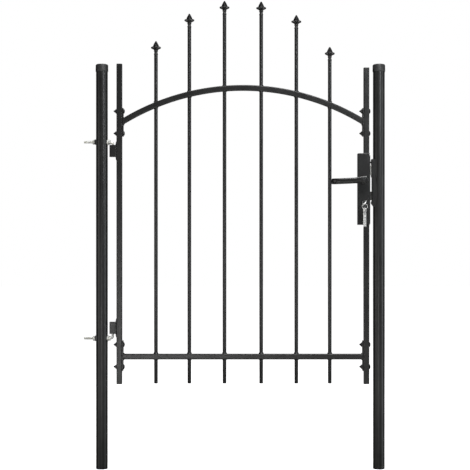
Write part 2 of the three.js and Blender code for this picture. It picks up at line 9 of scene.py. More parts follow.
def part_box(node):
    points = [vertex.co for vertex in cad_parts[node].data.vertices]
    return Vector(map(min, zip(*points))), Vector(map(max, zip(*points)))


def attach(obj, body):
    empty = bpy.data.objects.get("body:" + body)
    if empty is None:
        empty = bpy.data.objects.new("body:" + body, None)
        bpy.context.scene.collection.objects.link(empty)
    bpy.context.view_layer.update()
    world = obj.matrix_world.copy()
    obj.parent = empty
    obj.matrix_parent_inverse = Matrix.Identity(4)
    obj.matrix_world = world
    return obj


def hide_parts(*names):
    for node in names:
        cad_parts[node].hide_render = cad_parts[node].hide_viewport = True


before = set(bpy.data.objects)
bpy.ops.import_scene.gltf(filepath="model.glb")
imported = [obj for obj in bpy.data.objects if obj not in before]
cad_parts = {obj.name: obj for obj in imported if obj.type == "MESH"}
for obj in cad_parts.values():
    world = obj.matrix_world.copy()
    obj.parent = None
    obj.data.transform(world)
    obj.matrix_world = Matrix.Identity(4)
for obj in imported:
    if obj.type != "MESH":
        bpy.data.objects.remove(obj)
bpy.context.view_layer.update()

scene = bpy.context.scene
wholeTurn = 2 * math.pi
upZ = Vector((0, 0, 1))
backY = Vector((0, 1, 0))


# Camera, lights and floor

view = {"distance": 4.0, "x": -0.0175, "z": 0.759, "seen": 1.5275, "sensor": 36, "clip": 50}
lights = {  # place, point aimed at, width and height, watts, tint
    "streak": ((1.22, -1.85, 1.52), (0, 0, 1.15), (0.1, 0.7), 10, (0.93, 0.97, 1)),
    "wallRight": ((3.1, -1.1, 0.6), (0, 0, 0.6), (1.3, 2.2), 30, (0.93, 0.97, 1)),
    "wallLeft": ((-3.0, -1.6, 0.5), (0, 0, 0.5), (1.6, 1.9), 19, (1, 0.98, 0.95)),
    "floorSheen": ((0, -2.2, 0.02), (0, -2.2, 1), (3.4, 2.6), 36, (1, 1, 0.98)),
    "lowFill": ((-0.58, -3.9, 0.15), (-0.4, 0, 0.37), (0.9, 0.28), 13, (1, 1, 1)),
    "topSoft": ((0.2, -1.4, 3.1), (0, 0, 0.9), (2.2, 0.9), 38, (1, 1, 1)),
    "backSheen": ((0, 2.5, 0.02), (0, 2.5, 1), (3.4, 2.6), 22, (1, 1, 1)),
    "backTop": ((0, 2.4, 3.2), (0, 0, 0.9), (2.6, 0.6), 26, (1, 1, 1)),
    "glint": ((0.55, -1.7, 2.5), (0.33, 0, 0.93), (1.0, 0.3), 34, (1, 1, 1)),
}
room = {"seen": 1.0, "felt": 0.04, "floorGlow": 1.06, "floorSize": 14, "floorGap": 0.0006}


def makeCamera():
    camera = bpy.data.objects.new("gateCamera", bpy.data.cameras.new("gateCamera"))
    scene.collection.objects.link(camera)
    camera.location = (view["x"], -view["distance"], view["z"])
    camera.rotation_euler = (math.radians(90), 0, 0)
    camera.data.sensor_width = view["sensor"]
    camera.data.lens = view["sensor"] * view["distance"] / view["seen"]
    camera.data.clip_end = view["clip"]
    scene.camera = camera


def makeLights():
    for name, (place, aim, size, watts, tint) in lights.items():
        data = bpy.data.lights.new(name, "AREA")
        data.shape = "RECTANGLE"
        data.size, data.size_y = size
        data.energy = watts
        data.color = tint
        lamp = bpy.data.objects.new(name, data)
        scene.collection.objects.link(lamp)
        lamp.location = place
        lamp.rotation_euler = (Vector(aim) - Vector(place)).to_track_quat("-Z", "Y").to_euler()


makeCamera()
makeLights()
scene.view_settings.view_transform = "Standard"
print("camera and lights placed:", len(lights))


# Shader helper: a Wire is one socket, and arithmetic on it adds Math nodes

class Wire:
    def __init__(self, finish, socket):
        self.finish = finish
        self.socket = socket

    def maths(self, operation, first, second):
        return self.finish.node("ShaderNodeMath", {"operation": operation}, {0: first, 1: second})

    def __add__(self, other):
        return self.maths("ADD", self, other)

    def __radd__(self, other):
        return self.maths("ADD", other, self)

    def __sub__(self, other):
        return self.maths("SUBTRACT", self, other)

    def __rsub__(self, other):
        return self.maths("SUBTRACT", other, self)

    def __mul__(self, other):
        return self.maths("MULTIPLY", self, other)

    def __rmul__(self, other):
        return self.maths("MULTIPLY", other, self)


class Finish:
    def __init__(self, name):
        self.material = bpy.data.materials.new(name)
        self.material.use_nodes = True
        self.tree = self.material.node_tree
        self.tree.nodes.clear()

    # One node: its type, its settings, then the values or links of its sockets
    def node(self, kind, settings, sockets, out=0):
        made = self.tree.nodes.new(kind)
        for key, value in settings.items():
            if key == "stops":
                self.setStops(made.color_ramp, value)
            else:
                setattr(made, key, value)
        for key, value in sockets.items():
            if isinstance(value, Wire):
                self.tree.links.new(value.socket, made.inputs[key])
            else:
                made.inputs[key].default_value = value
        return Wire(self, made.outputs[out]) if made.outputs else made

    def setStops(self, ramp, stops):
        while len(ramp.elements) < len(stops):
            ramp.elements.new(1)
        for element, (position, shade) in zip(ramp.elements, stops):
            element.position = position
            element.color = (shade, shade, shade, 1)

    def place(self):
        return self.node("ShaderNodeTexCoord", {}, {}, "Object")

    def stretched(self, scale):
        return self.node("ShaderNodeMapping", {}, {"Vector": self.place(), "Scale": scale})

    def cloud(self, scale, detail=3, rough=0.5, vector=None):
        sockets = {"Scale": scale, "Detail": detail, "Roughness": rough, "Vector": vector or self.place()}
        return self.node("ShaderNodeTexNoise", {"noise_dimensions": "3D"}, sockets)

    def ramp(self, value, stops):
        return self.node("ShaderNodeValToRGB", {"stops": stops}, {"Fac": value})

    def blend(self, amount, first, second):
        settings = {"data_type": "RGBA", "clamp_factor": True}
        sockets = {0: amount, 6: (*first, 1) if isinstance(first, tuple) else first}
        sockets[7] = (*second, 1) if isinstance(second, tuple) else second
        return self.node("ShaderNodeMix", settings, sockets, 2)

    def relief(self, height, depth, under=None):
        sockets = {"Height": height, "Distance": depth, "Strength": 1.0}
        if under:
            sockets["Normal"] = under
        return self.node("ShaderNodeBump", {}, sockets)

    def close(self, sockets):
        surface = self.node("ShaderNodeBsdfPrincipled", {}, sockets)
        self.node("ShaderNodeOutputMaterial", {}, {"Surface": surface})
        return self.material

    def metal(self, colour, metallic, gloss, skin):
        return self.close({"Base Color": colour, "Metallic": metallic, "Roughness": gloss, "Normal": skin})


# Satin powder coat: charcoal, faintly clouded, with orange peel and dust specks, and painted floor-bounce
# light that makes it paler near the ground
powder = {
    "dark": (0.0066, 0.0067, 0.0068), "light": (0.0128, 0.0129, 0.0126), "dustAndSheen": (0.075, 0.075, 0.066),
    "grainScale": 1800, "grainDepth": 0.0000015, "speck": 0.03, "groundSheen": 0.22, "groundSheenTop": 0.35,
    "specular": 0.42,
}


def powderCoat(name, peelScale, peelDepth, rough):
    finish = Finish(name)
    patches = finish.ramp(finish.cloud(14, 4, 0.6), [(0.35, 0), (0.7, 1)])
    colour = finish.blend(patches, powder["dark"], powder["light"])
    specks = finish.ramp(finish.cloud(2600, 2, 0.6), [(0.66, 0), (0.8, 1)])
    height = finish.node("ShaderNodeSeparateXYZ", {}, {"Vector": finish.place()}, "Z")
    # Painted light: below 35 cm the coat is blended blotchily towards the pale colour, standing in for light
    # bounced up from the floor; the same pale colour also serves the random dust specks
    nearGround = finish.ramp(height, [(0.0, 1), (powder["groundSheenTop"], 0)])
    dustAndSheenAmount = specks * powder["speck"] + nearGround * finish.cloud(60, 5, 0.65) * powder["groundSheen"]
    colour = finish.blend(dustAndSheenAmount, colour, powder["dustAndSheen"])
    peel = finish.relief(finish.cloud(peelScale, 2, 0.45), peelDepth)
    grain = finish.relief(finish.cloud(powder["grainScale"], 1, 0.5), powder["grainDepth"], peel)
    gloss = rough + finish.cloud(35, 4, 0.6) * 0.13 + specks * 0.04
    specular = powder["specular"]
    look = {"Base Color": colour, "Roughness": gloss, "Specular IOR Level": specular}
    return finish.close({**look, "Normal": grain})


# Moulded plastic of the caps and plugs: darker, duller, with fine spark texture
plastic = {"dark": (0.0115, 0.012, 0.012), "light": (0.021, 0.0215, 0.0215), "spark": 2400, "depth": 0.00003}


def mouldedPlastic():
    finish = Finish("mouldedPlastic")
    patches = finish.ramp(finish.cloud(45, 4, 0.6), [(0.3, 0), (0.75, 1)])
    colour = finish.blend(patches, plastic["dark"], plastic["light"])
    spark = finish.relief(finish.cloud(plastic["spark"], 3, 0.6), plastic["depth"])
    return finish.close({"Base Color": colour, "Roughness": 0.4 + finish.cloud(50) * 0.16, "Normal": spark})


# Bright zinc plating: pale, slightly yellow passivation, with a crystalline mottling
zincTones = {"cool": (0.62, 0.63, 0.62), "warm": (0.62, 0.61, 0.53), "dull": (0.42, 0.42, 0.39)}


def zincPlate():
    finish = Finish("zincPlate")
    drift = finish.ramp(finish.cloud(120, 3, 0.6), [(0.38, 0), (0.68, 1)])
    colour = finish.blend(drift, zincTones["cool"], zincTones["warm"])
    tarnish = finish.ramp(finish.cloud(420, 4, 0.65), [(0.52, 0), (0.75, 1)])
    colour = finish.blend(tarnish * 0.55, colour, zincTones["dull"])
    spangle = {"Scale": 1500, "Vector": finish.place()}
    crystals = finish.node("ShaderNodeTexVoronoi", {}, spangle, "Distance")
    skin = finish.relief(crystals, 0.00003)
    gloss = 0.3 + tarnish * 0.2 + crystals * 0.1
    return finish.metal(colour, 0.45 - tarnish * 0.1, gloss, skin)


# Nickel plate of the cylinder, keys and ring: drawn lines and small scratches
def nickelPlate():
    finish = Finish("nickelPlate")
    lines = finish.cloud(60, 3, 0.6, finish.stretched((1, 1, 40)))
    smudge = finish.ramp(finish.cloud(180, 4, 0.6), [(0.4, 0), (0.75, 1)])
    colour = finish.blend(smudge, (0.90, 0.90, 0.89), (0.66, 0.66, 0.64))
    skin = finish.relief(lines, 0.00002)
    gloss = 0.26 + smudge * 0.16 + lines * 0.1
    return finish.metal(colour, 0.6 + smudge * 0.3, gloss, skin)


# The cylinder's face is satin black nickel, with only its rims catching light
def blackNickel():
    finish = Finish("blackNickel")
    lines = finish.cloud(70, 3, 0.6, finish.stretched((1, 1, 30)))
    smudge = finish.ramp(finish.cloud(160, 4, 0.6), [(0.4, 0), (0.75, 1)])
    colour = finish.blend(smudge, (0.20, 0.20, 0.20), (0.12, 0.12, 0.12))
    skin = finish.relief(lines, 0.00002)
    return finish.metal(colour, 1.0, 0.26 + smudge * 0.14, skin)


# Bare machined steel of the latch and bolts in the lock: turned lines with a greasy darkening
def machinedSteel(name, clean, greasy, metallic):
    finish = Finish(name)
    lines = finish.cloud(90, 3, 0.65, finish.stretched((1, 1, 26)))
    grease = finish.ramp(finish.cloud(150, 4, 0.6), [(0.42, 0), (0.7, 1)])
    colour = finish.blend(grease, clean, greasy)
    skin = finish.relief(lines, 0.00004)
    gloss = 0.3 + grease * 0.2 + lines * 0.12
    return finish.metal(colour, metallic, gloss, skin)


def paleFloor():
    finish = Finish("paleFloor")
    patches = finish.cloud(3, 4, 0.6)
    colour = finish.blend(patches, (0.93, 0.93, 0.93), (0.97, 0.97, 0.97))
    glow = {"Emission Color": colour, "Emission Strength": room["floorGlow"]}
    return finish.close({"Base Color": colour, "Roughness": 0.8 + patches * 0.1, **glow})


finishes = {  # coats: scale and depth of the orange peel, roughness
    "coat": powderCoat("powderCoat", 520, 0.000006, 0.27),
    "castCoat": powderCoat("castPowderCoat", 450, 0.00008, 0.36),
    "gripCoat": powderCoat("gripPowderCoat", 700, 0.000006, 0.2),
    "weldCoat": powderCoat("weldPowderCoat", 600, 0.00009, 0.35),
    "plastic": mouldedPlastic(),
    "zinc": zincPlate(),
    "nickel": nickelPlate(),
    "blackNickel": blackNickel(),
    "steel": machinedSteel("machinedSteel", (0.62, 0.62, 0.60), (0.33, 0.325, 0.30), 0.7),
    "darkSteel": machinedSteel("darkSteel", (0.085, 0.085, 0.082), (0.04, 0.04, 0.037), 0.9),
}
print("finishes ready:", len(finishes))


# Mesh helpers

def joinRings(bm, rings, endless=False, capped=True):
    # Neighbouring rings are joined with quads; a ring of one point makes a pole
    made = [[bm.verts.new(point) for point in ring] for ring in rings]
    pairs = list(zip(made, made[1:]))
    if endless:
        pairs.append((made[-1], made[0]))
    for low, high in pairs:
        count = max(len(low), len(high))
        for k in range(count):
            nextK = (k + 1) % count
            corners = [low[k % len(low)], low[nextK % len(low)]]
            corners += [high[nextK % len(high)], high[k % len(high)]]
            corners = list(dict.fromkeys(corners))
            if len(corners) > 2:
                bm.faces.new(corners)
    if capped and not endless:
        for ring in (made[0], made[-1]):
            if len(ring) > 2:
                bm.faces.new(ring)
    return bm


def alongX(x=0, y=0, z=0, turn=90):
    return Matrix.Translation((x, y, z)) @ Matrix.Rotation(math.radians(turn), 4, "Y")


def alongY(x=0, y=0, z=0, turn=-90):
    return Matrix.Translation((x, y, z)) @ Matrix.Rotation(math.radians(turn), 4, "X")


def standing(x=0, y=0, z=0):
    return Matrix.Translation((x, y, z))


def anglesRound(count):
    return [wholeTurn * k / count for k in range(count)]


def circleLoop(radius, count):
    return [(radius * math.cos(angle), radius * math.sin(angle)) for angle in anglesRound(count)]


def rodProfile(radius, start, end):
    return [(0, start), (radius, start), (radius, end), (0, end)]


def turned(bm, profile, at, sides=48, endless=False):
    # profile: (radius, height) pairs, turned about the local Z; on the axis they make a pole
    rings = []
    for radius, height in profile:
        loop = circleLoop(radius, sides) if radius > 0 else [(0, 0)]
        rings.append([at @ Vector((a, b, height)) for a, b in loop])
    return joinRings(bm, rings, endless)


def arc(centreA, centreB, radius, start, end, steps):
    points = []
    for k in range(steps + 1):
        angle = math.radians(start + (end - start) * k / steps)
        points.append((centreA + radius * math.cos(angle), centreB + radius * math.sin(angle)))
    return points


def roundedLoop(width, height, corner, steps=4):
    a, b = width / 2 - corner, height / 2 - corner
    points = []
    for quarter, (x, y) in enumerate(((a, b), (-a, b), (-a, -b), (a, -b))):
        points += arc(x, y, corner, 90 * quarter, 90 * quarter + 90, steps)
    return points


def sweep(bm, path, section, up, scales=None, endless=False):
    rings = []
    count = len(path)
    for i, point in enumerate(path):
        before = path[i - 1] if endless or i else point
        after = path[(i + 1) % count] if endless or i < count - 1 else point
        along = (after - before).normalized()
        side = along.cross(up).normalized()
        over = side.cross(along)
        wide, tall = scales[i] if scales else (1, 1)
        rings.append([point + side * a * wide + over * b * tall for a, b in section])
    return joinRings(bm, rings, endless)


def brick(low, high, edge=0.0, steps=3):
    # A block whose edges are rounded
    bm = bmesh.new()
    bmesh.ops.create_cube(bm, size=1)
    low, high = Vector(low), Vector(high)
    middle, size = (low + high) / 2, high - low
    for vert in bm.verts:
        vert.co = Vector([middle[i] + vert.co[i] * size[i] for i in range(3)])
    if edge:
        bmesh.ops.bevel(bm, geom=list(bm.edges), offset=edge, segments=steps, profile=0.5, affect="EDGES")
    return bm


def addTo(bm, other):
    mesh = bpy.data.meshes.new("part")
    other.to_mesh(mesh)
    other.free()
    bm.from_mesh(mesh)
    bpy.data.meshes.remove(mesh)
    return bm


def looseObject(bm):
    bmesh.ops.recalc_face_normals(bm, faces=bm.faces)
    mesh = bpy.data.meshes.new("loose")
    bm.to_mesh(mesh)
    bm.free()
    obj = bpy.data.objects.new("loose", mesh)
    scene.collection.objects.link(obj)
    return obj


def evaluated(obj):
    bpy.context.view_layer.update()
    depsgraph = bpy.context.evaluated_depsgraph_get()
    shown = obj.evaluated_get(depsgraph)
    return bpy.data.meshes.new_from_object(shown, preserve_all_data_layers=True, depsgraph=depsgraph)


def discard(obj):
    used = obj.data
    bpy.data.objects.remove(obj)
    bpy.data.meshes.remove(used)


cleaning = {"merge": 2e-6, "flat": 0.5}


def cleaned(bm):
    # Merges doubled points and drops the edges inside flat faces
    flat = math.radians(cleaning["flat"])
    bmesh.ops.remove_doubles(bm, verts=bm.verts, dist=cleaning["merge"])
    bmesh.ops.dissolve_limit(bm, angle_limit=flat, verts=bm.verts, edges=bm.edges)
    return bm


def carved(bm, cutters):
    base = looseObject(bm)
    tools = [looseObject(cutter) for cutter in cutters]
    for tool in tools:
        step = base.modifiers.new("cut", "BOOLEAN")
        step.operation, step.solver, step.object = "DIFFERENCE", "EXACT", tool
    mesh = evaluated(base)
    result = bmesh.new()
    result.from_mesh(mesh)
    bpy.data.meshes.remove(mesh)
    for obj in [base, *tools]:
        discard(obj)
    return cleaned(result)


def fromNode(name):
    bm = bmesh.new()
    bm.from_mesh(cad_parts[name].data)
    return cleaned(bm)


def softenEdges(bm, width, steps=2, sharper=32):
    bmesh.ops.recalc_face_normals(bm, faces=bm.faces)
    limit = math.radians(sharper)
    chosen = [edge for edge in bm.edges if len(edge.link_faces) == 2 and edge.calc_face_angle() > limit]
    settings = {"segments": steps, "profile": 0.5, "affect": "EDGES", "clamp_overlap": True}
    bmesh.ops.bevel(bm, geom=chosen, offset=width, **settings)
    return bm


def piece(name, bm, finish, body, nodes=(), sharp=38, weighted=False):
    bmesh.ops.recalc_face_normals(bm, faces=bm.faces)
    mesh = bpy.data.meshes.new(name)
    bm.to_mesh(mesh)
    bm.free()
    mesh.shade_smooth()
    mesh.set_sharp_from_angle(angle=math.radians(sharp))
    obj = bpy.data.objects.new(name, mesh)
    scene.collection.objects.link(obj)
    if weighted:
        step = obj.modifiers.new("faces", "WEIGHTED_NORMAL")
        step.keep_sharp = True
        better = evaluated(obj)
        obj.modifiers.clear()
        obj.data = better
        bpy.data.meshes.remove(mesh)
        better.name = name
    obj.data.materials.clear()
    obj.data.materials.append(finishes[finish])
    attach(obj, body)
    if nodes:
        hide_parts(*nodes)
    return obj


def middleOf(node):
    low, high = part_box(node)
    return (low + high) / 2


def ripple(place, size):
    return noise.noise(Vector(place) / size)


# Weld bead: a small round fillet along a path, its width swelling from drop to drop
weld = {"sides": 10, "drop": 0.0021, "swell": 0.14, "uneven": 0.12, "wander": 0.0003}


def weldBead(bm, path, width, up, endless=False):
    travelled = 0
    scales = []
    moved = []
    for i, point in enumerate(path):
        travelled += (point - path[i - 1]).length if i else 0
        wave = abs(math.sin(math.pi * travelled / weld["drop"]))
        size = 1 - weld["swell"] * (1 - wave) + weld["uneven"] * ripple(point, 0.004)
        scales.append((size, size))
        stray = Vector([ripple(point + Vector((k, 0, 0)), 0.006) for k in (1, 2, 3)])
        moved.append(point + stray * weld["wander"])
    return sweep(bm, moved, circleLoop(width, weld["sides"]), up, scales, endless)


def ringPath(centre, radius, count):
    return [centre + Vector((a, b, 0)) for a, b in circleLoop(radius, count)]


def linePath(start, end, count):
    return [start.lerp(end, k / (count - 1)) for k in range(count)]


# Posts: round tubes, drilled for the hooks on one side and slotted for the lock on the other
postTube = {"sides": 96, "wall": 0.002, "rim": 0.0006, "hookHole": 0.0043, "slotRoom": 0.001, "past": 0.005}


def makePosts():
    for name in ("hinge_post", "latch_post"):
        low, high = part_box(name)
        middle = (low + high) / 2
        outer = (high.x - low.x) / 2
        inner = outer - postTube["wall"]
        rim = postTube["rim"]
        top = high.z
        profile = [(inner, 0), (outer - rim, 0), (outer, rim)]
        profile += [(outer, top - rim), (outer - rim, top), (inner, top)]
        tube = turned(bmesh.new(), profile, standing(middle.x, 0), postTube["sides"], endless=True)
        cutters = []
        if name == "hinge_post":
            for hookNode in ("upper_outer_nut", "lower_outer_nut"):
                at = alongX(middle.x - 0.03, 0, middleOf(hookNode).z)
                cutters.append(turned(bmesh.new(), rodProfile(postTube["hookHole"], 0, 0.06), at, 32))
        else:
            spare = postTube["slotRoom"]
            for node, nose in (("latch_bolt", latchNose), ("dead_bolt", deadNose)):
                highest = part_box(node)[1]
                half = nose["thickness"] / 2 + spare
                corner = (middle.x - outer - postTube["past"], -half, highest.z - nose["height"] - spare)
                cutters.append(brick(corner, (middle.x, half, highest.z + spare)))
        tube = carved(tube, cutters)
        piece(name.replace("_", "") + "Tube", tube, "coat", "posts", [name], sharp=30)


# Caps: moulded, pushed over the post, with a rounded shoulder and a slightly crowned top
postCap = {"sides": 72, "shoulder": 0.0055, "crown": 0.0011, "lip": 0.0008, "bore": 0.0193, "roof": 0.0218}


def makeCaps():
    for name in ("hinge_post_cap", "latch_post_cap"):
        low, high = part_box(name)
        middle = (low + high) / 2
        outer, tall = (high.x - low.x) / 2, high.z - low.z
        shoulder, crown, lip = postCap["shoulder"], postCap["crown"], postCap["lip"]
        profile = [(0, tall)]
        for k in range(1, 5):
            reach = k / 4
            profile.append(((outer - shoulder) * reach, tall - crown * reach * reach))
        profile += arc(outer - shoulder - 0.0002, tall - crown - shoulder, shoulder, 80, 0, 8)
        profile += [(outer, 0.004), (outer - 0.0001, lip), (outer - lip, 0), (postCap["bore"] + 0.0003, 0)]
        profile += [(postCap["bore"], lip), (postCap["bore"], postCap["roof"]), (0, postCap["roof"])]
        cap = turned(bmesh.new(), profile, standing(middle.x, 0, low.z), postCap["sides"])
        piece(name.replace("_", ""), cap, "plastic", "posts", [name], sharp=50)


# Stiles: square tube with rolled corners, open below and plugged above
stileTube = {"corner": 0.0022, "wall": 0.0015, "rim": 0.0004}
stilePlug = {"corner": 0.0022, "round": 0.0011, "crown": 0.0005, "insert": 0.0142, "head": 0.0027}


def squareRing(x, z, width, corner):
    return [Vector((x + a, b, z)) for a, b in roundedLoop(width, width, corner)]


def makeStiles():
    for name in ("hinge_stile", "lock_stile_lower", "lock_stile_upper"):
        low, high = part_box(name)
        x, width = (low.x + high.x) / 2, high.x - low.x
        rim, corner, wall = stileTube["rim"], stileTube["corner"], stileTube["wall"]
        bore = width - 2 * wall
        boreEnd, rimEnd = (bore, corner - wall * 0.8), (width - 2 * rim, corner)
        levels = [
            (low.z, *boreEnd), (low.z, *rimEnd), (low.z + rim, width, corner),
            (high.z - rim, width, corner), (high.z, *rimEnd), (high.z, *boreEnd),
        ]
        rings = [squareRing(x, z, size, bend) for z, size, bend in levels]
        tube = joinRings(bmesh.new(), rings, endless=True)
        piece(name.replace("_", ""), tube, "coat", "leaf", [name], weighted=True)


def makePlugs():
    for name in ("hinge_stile_plug", "lock_stile_plug"):
        low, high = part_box(name)
        x, width = (low.x + high.x) / 2, high.x - low.x
        under = high.z - stilePlug["head"]
        corner, soft, insert = stilePlug["corner"], stilePlug["round"], stilePlug["insert"]
        rings = [squareRing(x, low.z, insert, 0.001), squareRing(x, under, insert, 0.001)]
        rings += [squareRing(x, under, width - 0.0004, 0.002), squareRing(x, under + 0.0002, width, corner)]
        for a, b in arc(0, 0, soft, 0, 90, 4):
            z = high.z - stilePlug["crown"] - soft + b
            rings.append(squareRing(x, z, width - 2 * (soft - a), corner))
        rings.append(squareRing(x, high.z, width * 0.35, corner))
        plug = joinRings(bmesh.new(), rings)
        piece(name.replace("_", ""), plug, "plastic", "leaf", [name], weighted=True)


# Rails: square tube with rolled corners between bolting plates; the top one follows an arc
rail = {"tube": 0.018, "corner": 0.003, "archRadius": 0.75, "archSteps": 96, "lowerMiddle": 0.364}
endPlate = {"thick": 0.004, "edge": 0.0007, "upperTall": 0.092, "overlap": 0.4}
railWeld = {"width": 0.0021, "side": 0.52, "count": 34, "stand": 0.0006, "inset": 0.0009}
barCollar = {"foot": 0.0086, "top": 0.0068, "height": 0.0046, "bead": 0.0015, "count": 44}


def plateSpan(railNode):
    low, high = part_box(railNode)
    return low.x + endPlate["thick"], high.x - endPlate["thick"]


def archCentre():
    low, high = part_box("arch_rail")
    middle = (low.x + high.x) / 2
    return Vector((middle, 0, high.z - rail["tube"] / 2 - rail["archRadius"]))


def archHeight(x, offset=0.0):
    centre = archCentre()
    return centre.z + math.sqrt((rail["archRadius"] + offset) ** 2 - (x - centre.x) ** 2)


def makePlate(name, x, middle, height):
    half, edge = rail["tube"] / 2, endPlate["edge"]
    low, high = (x, -half, middle - height / 2), (x + endPlate["thick"], half, middle + height / 2)
    piece(name, brick(low, high, edge, 2), "coat", "leaf", weighted=True)


def endWelds(name, x, facing, low, high):
    # Fillets over and under the rail where it meets its plate, and thinner ones up its sides
    half = rail["tube"] / 2 - 2 * railWeld["stand"]
    bm = bmesh.new()
    for z, sign in ((high, 1), (low, -1)):
        start = Vector((x + facing * railWeld["stand"], -half, z + sign * railWeld["stand"]))
        end = Vector((start.x, half, start.z))
        weldBead(bm, linePath(start, end, railWeld["count"]), railWeld["width"], upZ)
    for y in (-1, 1):
        edge = y * (rail["tube"] / 2 - railWeld["inset"])
        start, end = [Vector((x + facing * 0.0002, edge, z)) for z in (low, high)]
        weldBead(bm, linePath(start, end, railWeld["count"]), railWeld["width"] * railWeld["side"], backY)
    piece(name, bm, "weldCoat", "leaf", sharp=60)


def makeLowerRail():
    left, right = plateSpan("lower_rail")
    into = endPlate["thick"] * endPlate["overlap"]
    low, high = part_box("lower_rail")
    z, half = rail["lowerMiddle"], rail["tube"] / 2
    section = roundedLoop(rail["tube"], rail["tube"], rail["corner"])
    path = [Vector((left - into, 0, z)), Vector((right + into, 0, z))]
    tube = sweep(bmesh.new(), path, section, upZ)
    piece("lowerRailTube", tube, "coat", "leaf", ["lower_rail"], weighted=True)
    for side, x in (("hinge", left - endPlate["thick"]), ("lock", right)):
        makePlate(side + "LowerPlate", x, (low.z + high.z) / 2, high.z - low.z)
    for side, x, facing in (("hinge", left, 1), ("lock", right, -1)):
        endWelds(side + "LowerWeld", x, facing, z - half, z + half)


def makeArchRail():
    centre = archCentre()
    left, right = plateSpan("arch_rail")
    into = endPlate["thick"] * endPlate["overlap"]
    rings = []
    for k in range(rail["archSteps"] + 1):
        ring = []
        for a, b in roundedLoop(rail["tube"], rail["tube"], rail["corner"]):
            reach = rail["archRadius"] + b
            start = math.acos((left - into - centre.x) / reach)
            end = math.acos((right + into - centre.x) / reach)
            angle = start + (end - start) * k / rail["archSteps"]
            ring.append(Vector((centre.x + reach * math.cos(angle), a, centre.z + reach * math.sin(angle))))
        rings.append(ring)
    piece("archRailTube", joinRings(bmesh.new(), rings), "coat", "leaf", ["arch_rail"], weighted=True)
    foot, tall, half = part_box("arch_rail")[0].z, endPlate["upperTall"], rail["tube"] / 2
    for side, x, facing, edge in (("hinge", left - endPlate["thick"], 1, left), ("lock", right, -1, right)):
        makePlate(side + "UpperPlate", x, foot + tall / 2, tall)
        endWelds(side + "UpperWeld", edge, facing, archHeight(edge, -half), archHeight(edge, half))


# Bars, each welded where it passes through a rail
barRod = {"sides": 40, "round": 0.0009}


def makeBars():
    half = rail["tube"] / 2
    for number in range(1, 7):
        low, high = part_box(f"bar_{number}")
        x, radius = (low.x + high.x) / 2, (high.x - low.x) / 2
        soft = barRod["round"]
        profile = [(0, low.z), (radius - soft, low.z)]
        profile += [(a, low.z + soft + b) for a, b in arc(radius - soft, 0, soft, -90, 0, 3)]
        profile += [(radius, high.z + 0.0002), (0, high.z + 0.0002)]
        rod = turned(bmesh.new(), profile, standing(x), barRod["sides"])
        piece(f"bar{number}", rod, "coat", "leaf", [f"bar_{number}"], sharp=50)

        welds = bmesh.new()
        lowerTop = rail["lowerMiddle"] + half
        collar = [
            (radius * 0.9, -0.001), (barCollar["foot"], -0.001), (barCollar["foot"], 0.0004),
            (barCollar["foot"] - 0.0008, 0.0014), (barCollar["top"] + 0.0006, barCollar["height"] - 0.0007),
            (barCollar["top"], barCollar["height"]), (radius * 0.9, barCollar["height"]),
        ]
        turned(welds, collar, standing(x, 0, lowerTop), barRod["sides"], endless=True)
        for z in (rail["lowerMiddle"] - half, archHeight(x, half) + 0.0003, archHeight(x, -half)):
            path = ringPath(Vector((x, 0, z)), radius + 0.0006, barCollar["count"])
            weldBead(welds, path, barCollar["bead"], upZ, endless=True)
        piece(f"barWelds{number}", welds, "weldCoat", "leaf", sharp=50)


# Cast spear heads: two beads round the socket, a cup, four petals and a ridged pointed leaf
spearHead = {
    "socket": [
        (0, 0), (0.0060, 0), (0.0067, 0.0006), (0.0070, 0.0018), (0.0067, 0.0031), (0.0059, 0.0039),
        (0.0055, 0.0050), (0.0054, 0.0092), (0.0058, 0.0104), (0.0067, 0.0112), (0.0070, 0.0124),
        (0.0067, 0.0136), (0.0057, 0.0144), (0.0050, 0.0152), (0.0053, 0.0170), (0, 0.0180),
    ],
    "leaf": [
        (0.0142, 0.0054), (0.0160, 0.0072), (0.0175, 0.0085), (0.0195, 0.0095), (0.0240, 0.0098),
        (0.0280, 0.0097), (0.0310, 0.0089), (0.0340, 0.0076), (0.0370, 0.0060), (0.0400, 0.0044),
        (0.0425, 0.0030), (0.0440, 0.0019), (0.0449, 0.0009),
    ],
    "petalReach": 0.0162, "petalStart": 0.001,
    "petalTop": [
        (0, 0.0300), (0.006, 0.0298), (0.0095, 0.0281), (0.013, 0.0267), (0.0155, 0.0257), (0.0162, 0.0240),
    ],
    "petalFoot": [
        (0, 0.0145), (0.005, 0.0151), (0.0085, 0.0171), (0.012, 0.0187), (0.015, 0.0201), (0.0162, 0.0222),
    ],
    "petalWidth": [
        (0, 0.0040), (0.005, 0.0048), (0.009, 0.0050), (0.013, 0.0044), (0.0155, 0.0030), (0.0162, 0.0012),
    ],
    "petalSteps": 22, "ridge": 1.12, "voxel": 0.0005,
}


def between(stops, place):
    # Reads a list of (place, value) stops along straight lines
    for (fromPlace, fromValue), (toPlace, toValue) in zip(stops, stops[1:]):
        if place <= toPlace:
            t = (place - fromPlace) / (toPlace - fromPlace)
            return fromValue + (toValue - fromValue) * t
    return stops[-1][1]


